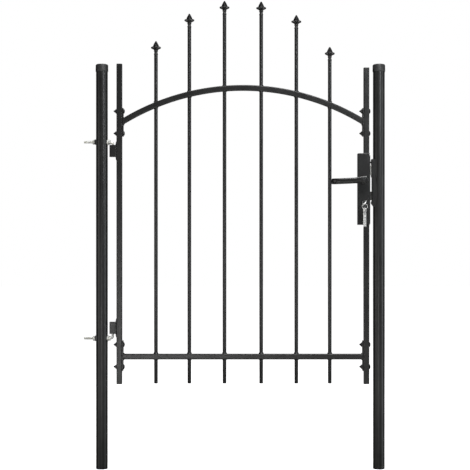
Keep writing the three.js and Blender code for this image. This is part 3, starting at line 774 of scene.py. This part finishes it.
def spearShape():
    values = spearHead
    bm = turned(bmesh.new(), values["socket"], standing(), 40)
    rings = []
    for z, width in values["leaf"]:
        ring = []
        for c, s in circleLoop(1, 40):
            reach = width / (abs(c) ** values["ridge"] + abs(s) ** values["ridge"]) ** (1 / values["ridge"])
            ring.append(Vector((reach * c, reach * s, z)))
        rings.append(ring)
    joinRings(bm, rings)
    for quarter in range(4):
        turn = Matrix.Rotation(math.radians(90 * quarter), 4, "Z")
        rings = []
        for k in range(values["petalSteps"] + 1):
            left = 1 - k / values["petalSteps"]
            r = values["petalStart"] + (values["petalReach"] - values["petalStart"]) * (1 - left ** 1.6)
            top, foot, wide = [between(values[key], r) for key in ("petalTop", "petalFoot", "petalWidth")]
            middle, tall = (top + foot) / 2, (top - foot) / 2
            loop = [(r, wide * a * (1 - 0.25 * abs(b)), middle + tall * b) for a, b in circleLoop(1, 20)]
            rings.append([turn @ Vector(place) for place in loop])
        joinRings(bm, rings)
    # The shells are melted into one casting
    base = looseObject(bm)
    melt = base.modifiers.new("melt", "REMESH")
    melt.mode, melt.voxel_size = "VOXEL", values["voxel"]
    calm = base.modifiers.new("calm", "SMOOTH")
    calm.factor, calm.iterations = 0.5, 2
    mesh = evaluated(base)
    discard(base)
    return mesh


def makeSpears():
    shape = spearShape()
    for number in range(1, 7):
        low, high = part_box(f"spear_{number}")
        bm = bmesh.new()
        bm.from_mesh(shape)
        bmesh.ops.transform(bm, matrix=standing((low.x + high.x) / 2, 0, low.z), verts=bm.verts)
        piece(f"spear{number}", bm, "castCoat", "leaf", [f"spear_{number}"], sharp=70)
    print("each spear has", len(shape.polygons), "faces")
    bpy.data.meshes.remove(shape)


# Nuts and bolts: hexagons with turned chamfers
def hexRadius(angle, flats):
    sector = math.radians(60)
    return flats / 2 / math.cos((angle % sector) - sector / 2)


def hexRing(at, flats, height, radius, sides=72):
    # A ring that follows the hexagon, but no further out than radius
    ring = []
    for angle in anglesRound(sides):
        reach = min(radius, hexRadius(angle, flats))
        ring.append(at @ Vector((reach * math.cos(angle), reach * math.sin(angle), height)))
    return ring


def hexNut(bm, at, flats, thick, bore):
    inner = flats / 2 * 0.95
    slope = math.tan(math.radians(28))
    radii = [inner + (flats / math.sqrt(3) - inner) * part for part in (0.0, 0.35, 0.7, 1.0)]
    chamfer = [(radius, (radius - inner) * slope) for radius in radii]
    rings = [hexRing(at, flats, 0.0002, bore)]
    rings += [hexRing(at, flats, rise, radius) for radius, rise in chamfer]
    rings += [hexRing(at, flats, thick - rise, radius) for radius, rise in reversed(chamfer)]
    rings.append(hexRing(at, flats, thick - 0.0002, bore))
    return joinRings(bm, rings, endless=True)


# Coach bolts: domed head on one end, a nut with a cone on the other
coachBolt = {"flats": 0.013, "nut": 0.0034, "head": 0.0042, "headRadius": 0.0079, "shank": 0.003}
coneNut = {
    "tall": 0.0105, "sunk": 0.001,
    "profile": [(1.0, 0.0), (0.97, 0.05), (0.80, 0.22), (0.60, 0.45), (0.38, 0.70), (0.2, 0.89), (0.1, 0.97)],
}


def boltMesh(low, high):
    z = (low.z + high.z) / 2
    bm = bmesh.new()
    head, wide = coachBolt["head"], coachBolt["headRadius"]
    dome = [(0, 0), (wide - 0.0003, 0), (wide, 0.0004)]
    dome += [(wide * a * 0.995, 0.0004 + (head - 0.0005) * b) for a, b in arc(0, 0, 1, 8, 90, 9)]
    dome[-1] = (0, head - 0.0001)
    turned(bm, dome, alongX(high.x - head, 0, z), 40)
    nutBack = low.x + coneNut["tall"]
    at = alongX(nutBack, 0, z, -90)
    hexNut(bm, at, coachBolt["flats"], coachBolt["nut"], 0.0005)
    flat = coachBolt["flats"] / 2 * 0.93
    base, rise = coachBolt["nut"] - 0.0003, coneNut["tall"] - coachBolt["nut"] + 0.0003
    cone = [(0, base - coneNut["sunk"]), (flat, base - coneNut["sunk"])]
    cone += [(flat * out, base + rise * up) for out, up in coneNut["profile"]]
    cone.append((0, coneNut["tall"]))
    turned(bm, cone, at, 40)
    shank = rodProfile(coachBolt["shank"], 0, high.x - nutBack)
    return turned(bm, shank, alongX(nutBack - 0.001, 0, z), 24)


def makeBolts():
    for side, level, place in product(("hinge", "lock"), ("upper", "lower"), ("top", "bottom")):
        node = f"{side}_{level}_{place}_bolt"
        name = side + level.title() + place.title() + "Bolt"
        piece(name, boltMesh(*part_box(node)), "coat", "leaf", [node], sharp=30)


# Hinges: threaded hook through the post, nut on either side, saddle, washer and lug
hook = {
    "radius": 0.0039, "pitch": 0.00125, "thread": 0.00062, "lead": 0.0012, "fade": 0.002,
    "sides": 28, "bend": 0.007, "bendSteps": 14, "chamfer": 0.0012, "half": 0.004,
}
hookNut = {"flats": 0.013, "bore": 0.0041}
lug = {"width": 0.02, "bead": 0.0016, "plateDepth": 0.0023, "sideWeld": 0.037, "plateHalf": 0.0194}


def threadRings(start, stop, z, turn):
    # The thread is cut shallower towards stop, and the end is drawn in at start
    rings = []
    sides = hook["sides"]
    rows = int((stop - start) / (hook["pitch"] / 4))
    for i in range(rows + 1):
        x = start + (stop - start) * i / rows
        ease = min(1, (x - start) / hook["lead"]) * 0.28 + 0.72
        fade = min(1, max(0, (stop - x) / hook["fade"]))
        ring = []
        for k, angle in enumerate(anglesRound(sides)):
            phase = ((x - start) / hook["pitch"] - k / sides) % 1
            wave = min(1, 1.6 * (1 - abs(2 * phase - 1)))
            radius = (hook["radius"] - hook["thread"] * (1 - wave) * fade) * ease
            ring.append(Vector((x, radius * math.cos(angle), z + radius * math.sin(angle) * turn)))
        rings.append(ring)
    return rings


def hookMesh(level):
    low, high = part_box(f"{level}_hook")
    turn = -1 if level == "upper" else 1
    z = low.z + hook["half"] if turn > 0 else high.z - hook["half"]
    endZ = high.z if turn > 0 else low.z
    pinX = high.x - hook["half"]
    corner = pinX - hook["bend"]
    rings = [[Vector((low.x, 0, z))], *threadRings(low.x, corner - 0.001, z, turn)]
    path = [(corner, 0, 0)]
    for k in range(1, hook["bendSteps"] + 1):
        angle = math.pi / 2 * k / hook["bendSteps"]
        path.append((corner + hook["bend"] * math.sin(angle), hook["bend"] * (1 - math.cos(angle)), angle))
    pinEnd = abs(endZ - z)
    path += [(pinX, pinEnd - hook["chamfer"], math.pi / 2), (pinX, pinEnd, math.pi / 2)]
    for i, (x, drop, angle) in enumerate(path):
        radius = hook["radius"] * (0.8 if i == len(path) - 1 else 1)
        ring = []
        for y, out in circleLoop(radius, hook["sides"]):
            ring.append(Vector((x - out * math.sin(angle), y, z + turn * (drop + out * math.cos(angle)))))
        rings.append(ring)
    return joinRings(bmesh.new(), rings)


def makeHinges():
    for level in ("upper", "lower"):
        piece(level + "Hook", hookMesh(level), "zinc", "posts", [f"{level}_hook"], sharp=60)
        for place in ("outer", "inner"):
            low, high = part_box(f"{level}_{place}_nut")
            at = alongX(low.x, 0, (low.z + high.z) / 2)
            nut = hexNut(bmesh.new(), at, hookNut["flats"], high.x - low.x, hookNut["bore"])
            piece(level + place.title() + "Nut", nut, "zinc", "posts", [f"{level}_{place}_nut"], sharp=25)
        saddle = softenEdges(fromNode(f"{level}_outer_saddle"), 0.0008)
        piece(level + "OuterSaddle", saddle, "coat", "posts", [f"{level}_outer_saddle"], weighted=True)
        washer = softenEdges(fromNode(f"{level}_inner_washer"), 0.0004)
        piece(level + "InnerWasher", washer, "zinc", "posts", [f"{level}_inner_washer"], weighted=True)
        makeLug(level)


def makeLug(level):
    low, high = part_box(f"{level}_hinge_lug")
    body = softenEdges(fromNode(f"{level}_hinge_lug"), 0.0007)
    piece(level + "HingeLug", body, "coat", "leaf", [f"{level}_hinge_lug"], weighted=True)
    bm = bmesh.new()
    half = lug["width"] / 2 - 0.0006
    middle = (low.z + high.z) / 2
    x = high.x - lug["plateDepth"]
    for y in (-1, 1):
        start = Vector((x, y * (half - 0.0006), middle - lug["sideWeld"] / 2))
        weldBead(bm, linePath(start, start + Vector((0, 0, lug["sideWeld"])), 60), lug["bead"], backY)
    for z in (-1, 1):
        start = Vector((x, -half + 0.001, middle + z * lug["plateHalf"]))
        weldBead(bm, linePath(start, start + Vector((0, 2 * half - 0.002, 0)), 40), lug["bead"], upZ)
    piece(level + "LugWeld", bm, "weldCoat", "leaf", sharp=60)


# Lock box: folded sheet let into the stile, with welds where the stile meets it
lockBox = {"bend": 0.0018, "wall": 0.002, "neckHole": 0.0093, "open": 0.005}
boxWeld = {"corner": 0.0024, "bead": 0.0014, "step": 0.0006}
latchNose = {"thickness": 0.012, "height": 0.032, "length": 0.0213, "slope": 0.0085}
deadNose = {"thickness": 0.012, "height": 0.028, "length": 0.0223}
boltTail = {"half": 0.002, "inset": 0.01, "hook": 0.003, "edge": 0.0003}
forendScrew = {
    "inset": 0.0095, "sunk": 0.0009,
    "profile": [
        (0, 0.0), (0.0008, 0.0), (0.0016, 0.0002), (0.0021, 0.0011),
        (0.0034, 0.0012), (0.0038, 0.0008), (0.0038, -0.001), (0, -0.001),
    ],
}
cylinder = {"radius": 0.0085, "lobe": 0.01, "height": 0.033, "plug": 0.0062, "tilt": 32}
lockAxis = {"x": 0.4005, "leverZ": 0.937, "cylinderZ": 0.8615}


def cylinderOutline(grow=0.0):
    # The keyhole outline of a profile cylinder: a circle over a narrower rounded foot
    radius, half = cylinder["radius"] + grow, cylinder["lobe"] / 2 + grow
    footZ = -(cylinder["height"] - cylinder["radius"] - cylinder["lobe"] / 2)
    meet = math.degrees(math.asin(half / radius))
    points = arc(0, 0, radius, -90 + meet, 270 - meet, 44)
    points += arc(0, footZ, half, 180, 360, 16)
    return points


def prismY(bm, points, fromY, toY, x, z, chamfer=0.0):
    # An outline in X and Z pushed along Y, its two rims drawn in by chamfer
    middle = Vector((sum(a for a, b in points), sum(b for a, b in points))) / len(points)
    rings = []
    for y, inset in ((fromY, chamfer), (fromY + chamfer, 0), (toY - chamfer, 0), (toY, chamfer)):
        if rings and not chamfer and abs(rings[-1][0].y - y) < 1e-9:
            continue
        ring = []
        for a, b in points:
            away = Vector((a, b)) - middle
            pulled = Vector((a, b)) - away.normalized() * inset
            ring.append(Vector((x + pulled.x, y, z + pulled.y)))
        rings.append(ring)
    return joinRings(bm, rings)


def makeLockBox():
    low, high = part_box("lock_box")
    outer = brick(low, high, lockBox["bend"], 4)
    wall = lockBox["wall"]
    farCorner = (high.x + lockBox["open"], high.y - wall, high.z - wall)
    inside = brick(low + Vector((wall, wall, wall)), farCorner, 0.0008, 2)
    reach = rodProfile(lockBox["neckHole"], 0, 0.08)
    neck = turned(bmesh.new(), reach, alongY(lockAxis["x"], -0.04, lockAxis["leverZ"]), 64)
    hole = prismY(bmesh.new(), cylinderOutline(0.0003), -0.04, 0.04, lockAxis["x"], lockAxis["cylinderZ"])
    box = carved(outer, [inside, neck, hole])
    piece("lockBox", box, "coat", "leaf", ["lock_box"], sharp=35, weighted=True)


def makeBoxWelds():
    # Beads round the stile over and under the box
    low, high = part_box("lock_box")
    stileLow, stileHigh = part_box("lock_stile_upper")
    middle, half = (stileLow.x + stileHigh.x) / 2, (stileHigh.x - stileLow.x) / 2 + 0.0002
    for name, z in (("lockBoxTopWeld", high.z), ("lockBoxFootWeld", low.z)):
        corners = [Vector((middle + a, b, z)) for a, b in roundedLoop(2 * half, 2 * half, boxWeld["corner"])]
        path = []
        for point, nextPoint in zip(corners, corners[1:] + corners[:1]):
            count = max(1, int((nextPoint - point).length / boxWeld["step"]))
            path += [point.lerp(nextPoint, k / count) for k in range(count)]
        bead = weldBead(bmesh.new(), path, boxWeld["bead"], upZ, endless=True)
        piece(name, bead, "weldCoat", "leaf", sharp=60)


def makeForend():
    low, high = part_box("lock_body")
    tray = softenEdges(fromNode("lock_body"), 0.0004)
    piece("lockTray", tray, "coat", "leaf", ["lock_body"], weighted=True)
    screws = bmesh.new()
    for z in (low.z + forendScrew["inset"], high.z - forendScrew["inset"]):
        turned(screws, forendScrew["profile"], alongX(high.x - forendScrew["sunk"], 0, z), 32)
    piece("forendScrews", screws, "steel", "leaf", sharp=40)


def tailPlate(low, high):
    half = boltTail["half"]
    return brick((low[0], -half, low[1]), (high[0], half, high[1]), boltTail["edge"], 1)


def makeLatch():
    low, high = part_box("latch_bolt")
    half, tail = latchNose["thickness"] / 2, high.x - latchNose["length"]
    foot, inset = high.z - latchNose["height"], boltTail["inset"]
    outline = [
        (tail, -half), (high.x - 0.0004, -half), (high.x, -half + 0.0005), (high.x, -half + 0.0035),
        (high.x - 0.0003, -half + 0.0042), (high.x - latchNose["slope"], half), (tail, half),
    ]
    rings = [[Vector((a, b, z)) for a, b in outline] for z in (foot, high.z)]
    latch = softenEdges(joinRings(bmesh.new(), rings), 0.0005)
    addTo(latch, tailPlate((low.x, foot + inset), (tail + 0.001, high.z - inset)))
    addTo(latch, tailPlate((low.x, low.z), (low.x + boltTail["hook"], high.z - inset)))
    piece("latchBolt", latch, "steel", "latch", ["latch_bolt"], weighted=True)


def makeDeadBolt():
    low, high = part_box("dead_bolt")
    half, front, inset = deadNose["thickness"] / 2, high.x - deadNose["length"], boltTail["inset"]
    bolt = brick((front, -half, low.z), (high.x, half, high.z), 0.0008)
    addTo(bolt, tailPlate((low.x, low.z + inset), (front + 0.001, high.z - inset)))
    piece("deadBolt", bolt, "darkSteel", "dead_bolt", ["dead_bolt"], weighted=True)


# Levers: a round rose, a neck, and a grip that swells at the hub and turns in at its end
leverShape = {
    "rose": 0.013, "roseDepth": 0.004, "neck": 0.009, "hub": 0.0108, "thick": 0.0088, "tall": 0.0164,
    "steps": 48, "sag": -0.0036, "taper": 0.08, "swell": 0.42, "swellLength": 0.035, "square": 3.4,
    "face": 0.0153, "inner": 0.0094, "roseRound": 0.0014, "hubRound": 0.0018,
}


def smoothPath(points, steps):
    # Catmull-Rom through the points
    ends = [points[0] * 2 - points[1], *points, points[-1] * 2 - points[-2]]
    path = []
    count = len(points) - 1
    for k in range(steps + 1):
        place = min(k / steps * count, count - 1e-9)
        i, t = int(place), place - int(place)
        a, b, c, d = ends[i:i + 4]
        squared, cubed = 2 * a - 5 * b + 4 * c - d, 3 * b - a - 3 * c + d
        path.append(0.5 * ((2 * b) + (c - a) * t + squared * t * t + cubed * t ** 3))
    return path


def leverHub(bm, at, reach):
    # Rose, neck and hub, turned in one, and the neck's length inside the lock box
    values = leverShape
    face, rose, neck, hub = values["face"], values["rose"], values["neck"], values["hub"]
    top = face + values["roseDepth"]
    edge = values["roseRound"]
    profile = [(0, face), (rose - 0.0003, face), (rose, face + 0.0004)]
    profile += [(rose - edge + a, top - edge + b) for a, b in arc(0, 0, edge, 0, 90, 5)]
    profile += [(neck + 0.0016, top), (neck + 0.0004, top + 0.0005), (neck, top + 0.0018)]
    profile += [(neck, reach - 0.013), (hub - 0.0006, reach - 0.007)]
    profile += [(hub, reach - 0.004), (hub, reach + 0.0014)]
    edge = values["hubRound"]
    profile += [(hub - edge + a, reach + 0.0014 + b) for a, b in arc(0, 0, edge, 15, 90, 4)]
    profile.append((0, reach + 0.0035))
    turned(bm, profile, at, 56)
    turned(bm, rodProfile(neck, values["inner"], face + 0.001), at, 40)


def leverGrip(bm, x, z, tip, side, reach):
    values = leverShape
    sag = values["sag"]
    stations = [
        (x + 0.004, reach - 0.0012, z + 0.001), (x - 0.012, reach + 0.0002, z + 0.001),
        (x - 0.035, reach, z + sag * 0.35), (tip + 0.042, reach, z + sag * 0.75),
        (tip + 0.020, reach - 0.0015, z + sag), (tip + 0.0085, reach - 0.009, z + sag),
        (tip + 0.0047, reach - 0.0165, z + sag),
    ]
    path = smoothPath([Vector((a, side * b, c)) for a, b, c in stations], values["steps"])
    scales = []
    for i, point in enumerate(path):
        near = max(0, 1 - (x - point.x) / values["swellLength"])
        end = max(0, (i - len(path) + 4) / 3)
        tall = 1 + values["swell"] * near * near - values["taper"] * (1 - near) - 0.18 * end
        scales.append((1 - 0.25 * end, tall))
    section = []
    for a, b in circleLoop(1, 32):
        corner = (abs(a) ** values["square"] + abs(b) ** values["square"]) ** (-1 / values["square"])
        section.append((values["thick"] / 2 * a * corner, values["tall"] / 2 * b * corner))
    sweep(bm, path, section, upZ, scales)


def makeLevers():
    x, z = lockAxis["x"], lockAxis["leverZ"]
    for node, side in (("front_lever", -1), ("rear_lever", 1)):
        low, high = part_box(node)
        reach = max(abs(low.y), abs(high.y)) - leverShape["thick"] / 2 - 0.0004
        bm = bmesh.new()
        leverHub(bm, alongY(x, 0, z, -90 * side), reach)
        leverGrip(bm, x, z, low.x, side, reach)
        piece(node.replace("_l", "L"), bm, "gripCoat", "levers", [node], sharp=48)


# Profile cylinder, its plug, the key in it, and the ring with two spare keys
keyBow = {
    "radius": 0.0105, "thick": 0.0022, "y": -0.036, "hole": 0.005, "holeY": -0.038, "blade": 0.0082,
    "neck": 0.009, "shoulder": -0.0222, "cuts": (0.0011, 0.0022, 0.0008, 0.0017), "cutStep": 0.0036,
}
splitRing = {"wire": 0.00078, "turns": 2, "pitch": 0.00125, "sides": 10, "steps": 48}
spareKey = {
    "bow": 0.008, "hole": 0.0037, "rim": 0.0022, "length": 0.063, "blade": 0.008, "turn": 60, "fan": 3,
    "cuts": (0.0012, 0.0022, 0.0009, 0.0019, 0.0014), "cutStep": 0.0052, "groove": 0.0009,
}


def keyTilt():
    # Door key and plug rest turned about the cylinder's axis
    return alongX(lockAxis["x"], 0, lockAxis["cylinderZ"], cylinder["tilt"])


def makeCylinder():
    x, z = lockAxis["x"], lockAxis["cylinderZ"]
    low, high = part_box("lock_cylinder")
    body = prismY(bmesh.new(), cylinderOutline(), low.y, high.y, x, z, 0.0006)
    plugLow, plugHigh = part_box("cylinder_plug")
    bore = rodProfile(cylinder["plug"] + 0.0002, 0, plugHigh.y - low.y + 0.001)
    body = carved(body, [turned(bmesh.new(), bore, alongY(x, low.y - 0.0005, z), 48)])
    piece("lockCylinder", body, "blackNickel", "leaf", ["lock_cylinder"], sharp=30, weighted=True)
    depth = plugHigh.y - plugLow.y
    face = cylinder["plug"]
    profile = [(0, 0), (face - 0.0012, 0), (face - 0.0006, 0.0001), (face, 0.0006), (face, depth), (0, depth)]
    plug = turned(bmesh.new(), profile, alongY(x, plugLow.y, z), 48)
    half, thick = keyBow["blade"] / 2 + 0.0003, keyBow["thick"] / 2 + 0.0003
    slot = brick((-thick, plugLow.y - 0.002, -half), (thick, plugHigh.y - 0.0017, half))
    bmesh.ops.transform(slot, matrix=keyTilt(), verts=slot.verts)
    plug = carved(plug, [slot])
    piece("cylinderPlug", plug, "blackNickel", "key", ["cylinder_plug"], sharp=30, weighted=True)


def makeDoorKey():
    # Flat in the local YZ plane: round bow, shoulder, blade with cuts; tilted as it rests
    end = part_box("door_key")[1].y - 0.002
    half, neck, blade = keyBow["thick"] / 2, keyBow["neck"] / 2, keyBow["blade"] / 2
    meet = math.degrees(math.asin(neck / keyBow["radius"]))
    outline = arc(keyBow["y"], 0, keyBow["radius"], meet, 360 - meet, 48)
    shoulder = keyBow["shoulder"]
    outline += [(shoulder, -neck), (shoulder + 0.0004, -blade)]
    y = shoulder + 0.004
    for depth in keyBow["cuts"]:
        if y + 0.004 > end:
            break
        floor = -blade + depth
        outline += [(y, -blade), (y + 0.001, floor), (y + 0.0018, floor), (y + 0.0028, -blade)]
        y += keyBow["cutStep"]
    outline += [(end, -blade), (end + 0.002, -blade * 0.3), (end + 0.002, blade * 0.3), (end, blade)]
    outline += [(shoulder + 0.0004, blade), (shoulder, neck)]
    rings = [[Vector((side, a, b)) for a, b in outline] for side in (-half, half)]
    flat = joinRings(bmesh.new(), rings)
    hole = rodProfile(keyBow["hole"], 0, 0.01)
    flat = carved(flat, [turned(bmesh.new(), hole, alongX(-0.005, keyBow["holeY"], 0), 48)])
    softenEdges(flat, 0.00035, 2, 40)
    bmesh.ops.transform(flat, matrix=keyTilt(), verts=flat.verts)
    piece("doorKey", flat, "nickel", "key", ["door_key"], sharp=34, weighted=True)


def makeKeyRing():
    low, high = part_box("key_ring")
    middle = (low + high) / 2
    radius = (high.x - low.x) / 2 - splitRing["wire"] - 0.0002
    count = splitRing["steps"] * splitRing["turns"]
    path = []
    for k in range(count + 1):
        angle = wholeTurn * k / splitRing["steps"] + 0.6
        shift = (k / count - 0.5) * splitRing["pitch"]
        path.append(middle + Vector((radius * math.cos(angle), shift, radius * math.sin(angle))))
    bm = sweep(bmesh.new(), path, circleLoop(splitRing["wire"], splitRing["sides"]), backY)
    piece("keyRing", bm, "nickel", "key_ring", ["key_ring"], sharp=50)


def spareKeyMesh():
    # Upright in the XZ plane: bow with its hole at the top, blade with cuts and a groove on either side
    values = spareKey
    thick, half = keyBow["thick"] / 2, values["blade"] / 2
    middle = values["hole"] + values["rim"] - values["bow"]
    top = middle - values["bow"]
    end = middle + values["bow"] - values["length"]
    wide = half + 0.0008
    outline = arc(0, middle, values["bow"], -65, 245, 40)
    outline += [(-wide, top - 0.001), (-wide, top - 0.0045), (-half, top - 0.0053)]
    z = top - 0.010
    for depth in values["cuts"]:
        floor = -half + depth
        outline += [(-half, z), (floor, z - 0.0012), (floor, z - 0.0022), (-half, z - 0.0034)]
        z -= values["cutStep"]
    outline += [(-half, end + 0.003), (-0.0008, end + 0.0002), (0.0008, end + 0.0002), (half, end + 0.003)]
    outline += [(half, top - 0.0053), (wide, top - 0.0045), (wide, top - 0.001)]
    flat = joinRings(bmesh.new(), [[Vector((a, y, b)) for a, b in outline] for y in (-thick, thick)])
    cutters = [turned(bmesh.new(), rodProfile(values["hole"], 0, 0.01), alongY(0, -0.005, 0), 40)]
    for y in (-1, 1):
        near, far = sorted((y * (thick - 0.0005), y * 0.004))
        x, groove = 0.0004 * y, values["groove"]
        cutters.append(brick((x - groove, near, end + 0.004), (x + groove, far, top - 0.004)))
    return softenEdges(carved(flat, cutters), 0.0003, 2, 40)


def makeSpareKeys():
    for number, sign in ((1, -1), (2, 1)):
        low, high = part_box(f"spare_key_{number}")
        flat = spareKeyMesh()
        fan = Matrix.Rotation(math.radians(-sign * spareKey["fan"]), 4, "Y")
        pose = Matrix.Rotation(math.radians(spareKey["turn"]), 4, "Z") @ fan
        bmesh.ops.transform(flat, matrix=pose, verts=flat.verts)
        lowest, highest = [
            Vector([extreme(vert.co[i] for vert in flat.verts) for i in range(3)]) for extreme in (min, max)
        ]
        shift = (low + high) / 2 - (lowest + highest) / 2
        shift.z = high.z - highest.z
        bmesh.ops.translate(flat, vec=shift, verts=flat.verts)
        node = f"spare_key_{number}"
        piece(f"spareKey{number}", flat, "nickel", "spare_keys", [node], sharp=34, weighted=True)


# Strike: folded sheet round the post, and the pan head screw that holds it
strikeEdge = {"width": 0.0007, "steps": 3}
strikeScrew = {"radius": 0.0039, "recess": 0.0016, "head": 0.003, "shank": 0.002}


def makeStrike():
    plate = softenEdges(fromNode("strike_keeper"), strikeEdge["width"], strikeEdge["steps"])
    piece("strikeKeeper", plate, "coat", "posts", ["strike_keeper"], weighted=True)
    low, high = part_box("strike_screw")
    z = (low.z + high.z) / 2
    radius, recess = strikeScrew["radius"], strikeScrew["recess"]
    head, shank = strikeScrew["head"], strikeScrew["shank"]
    length = high.x - low.x - head
    profile = [(0, head - recess), (0.0013, head - recess), (0.0019, head - 0.0001), (0.0023, head)]
    profile += [(radius - 0.0016 + a, head - 0.0018 + b) for a, b in arc(0, 0, 0.0016, 80, 0, 5)]
    profile += [(radius, 0), (shank, 0), (shank, -length), (0, -length)]
    screw = turned(bmesh.new(), profile, alongX(low.x + head, 0, z, -90), 40)
    piece("strikeScrew", screw, "coat", "posts", ["strike_screw"], sharp=40)


def makeFloor():
    bm = bmesh.new()
    bmesh.ops.create_grid(bm, x_segments=4, y_segments=4, size=room["floorSize"])
    bmesh.ops.translate(bm, vec=Vector((0, 0, -room["floorGap"])), verts=bm.verts)
    mesh = bpy.data.meshes.new("studioFloor")
    bm.to_mesh(mesh)
    bm.free()
    floor = bpy.data.objects.new("studioFloor", mesh)
    scene.collection.objects.link(floor)
    mesh.materials.append(paleFloor())
    floor.visible_glossy = False
    floor.visible_diffuse = False


def makeWorld():
    # White behind the gate, and a softer grey for what its coat mirrors
    world = bpy.data.worlds.new("studio")
    world.use_nodes = True
    scene.world = world
    tree = world.node_tree
    tree.nodes.clear()
    kinds = ("Background", "Background", "MixShader", "LightPath", "OutputWorld")
    shown, felt, mix, path, out = [tree.nodes.new("ShaderNode" + kind) for kind in kinds]
    shown.inputs["Color"].default_value = (1, 1, 1, 1)
    shown.inputs["Strength"].default_value = room["seen"]
    felt.inputs["Color"].default_value = (0.97, 0.985, 1, 1)
    felt.inputs["Strength"].default_value = room["felt"]
    tree.links.new(path.outputs["Is Camera Ray"], mix.inputs["Fac"])
    tree.links.new(felt.outputs[0], mix.inputs[1])
    tree.links.new(shown.outputs[0], mix.inputs[2])
    tree.links.new(mix.outputs[0], out.inputs["Surface"])


makeWorld()
makeFloor()
makePosts()
makeCaps()
print("posts and caps made")
makeStiles()
makePlugs()
makeLowerRail()
makeArchRail()
makeBars()
makeSpears()
print("leaf made")
makeBolts()
makeHinges()
print("bolts and hinges made")
makeLockBox()
makeBoxWelds()
makeForend()
makeLatch()
makeDeadBolt()
makeLevers()
makeCylinder()
makeDoorKey()
makeKeyRing()
makeSpareKeys()
makeStrike()
print("lock, levers, keys and strike made")

for node in ("lever_spindle", "lock_follower"):
    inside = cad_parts[node].data
    inside.materials.clear()
    inside.materials.append(finishes["steel"])

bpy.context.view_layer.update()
shownMeshes = [obj for obj in scene.objects if obj.type == "MESH" and not obj.hide_render]
print("meshes shown, floor included:", len(shownMeshes))
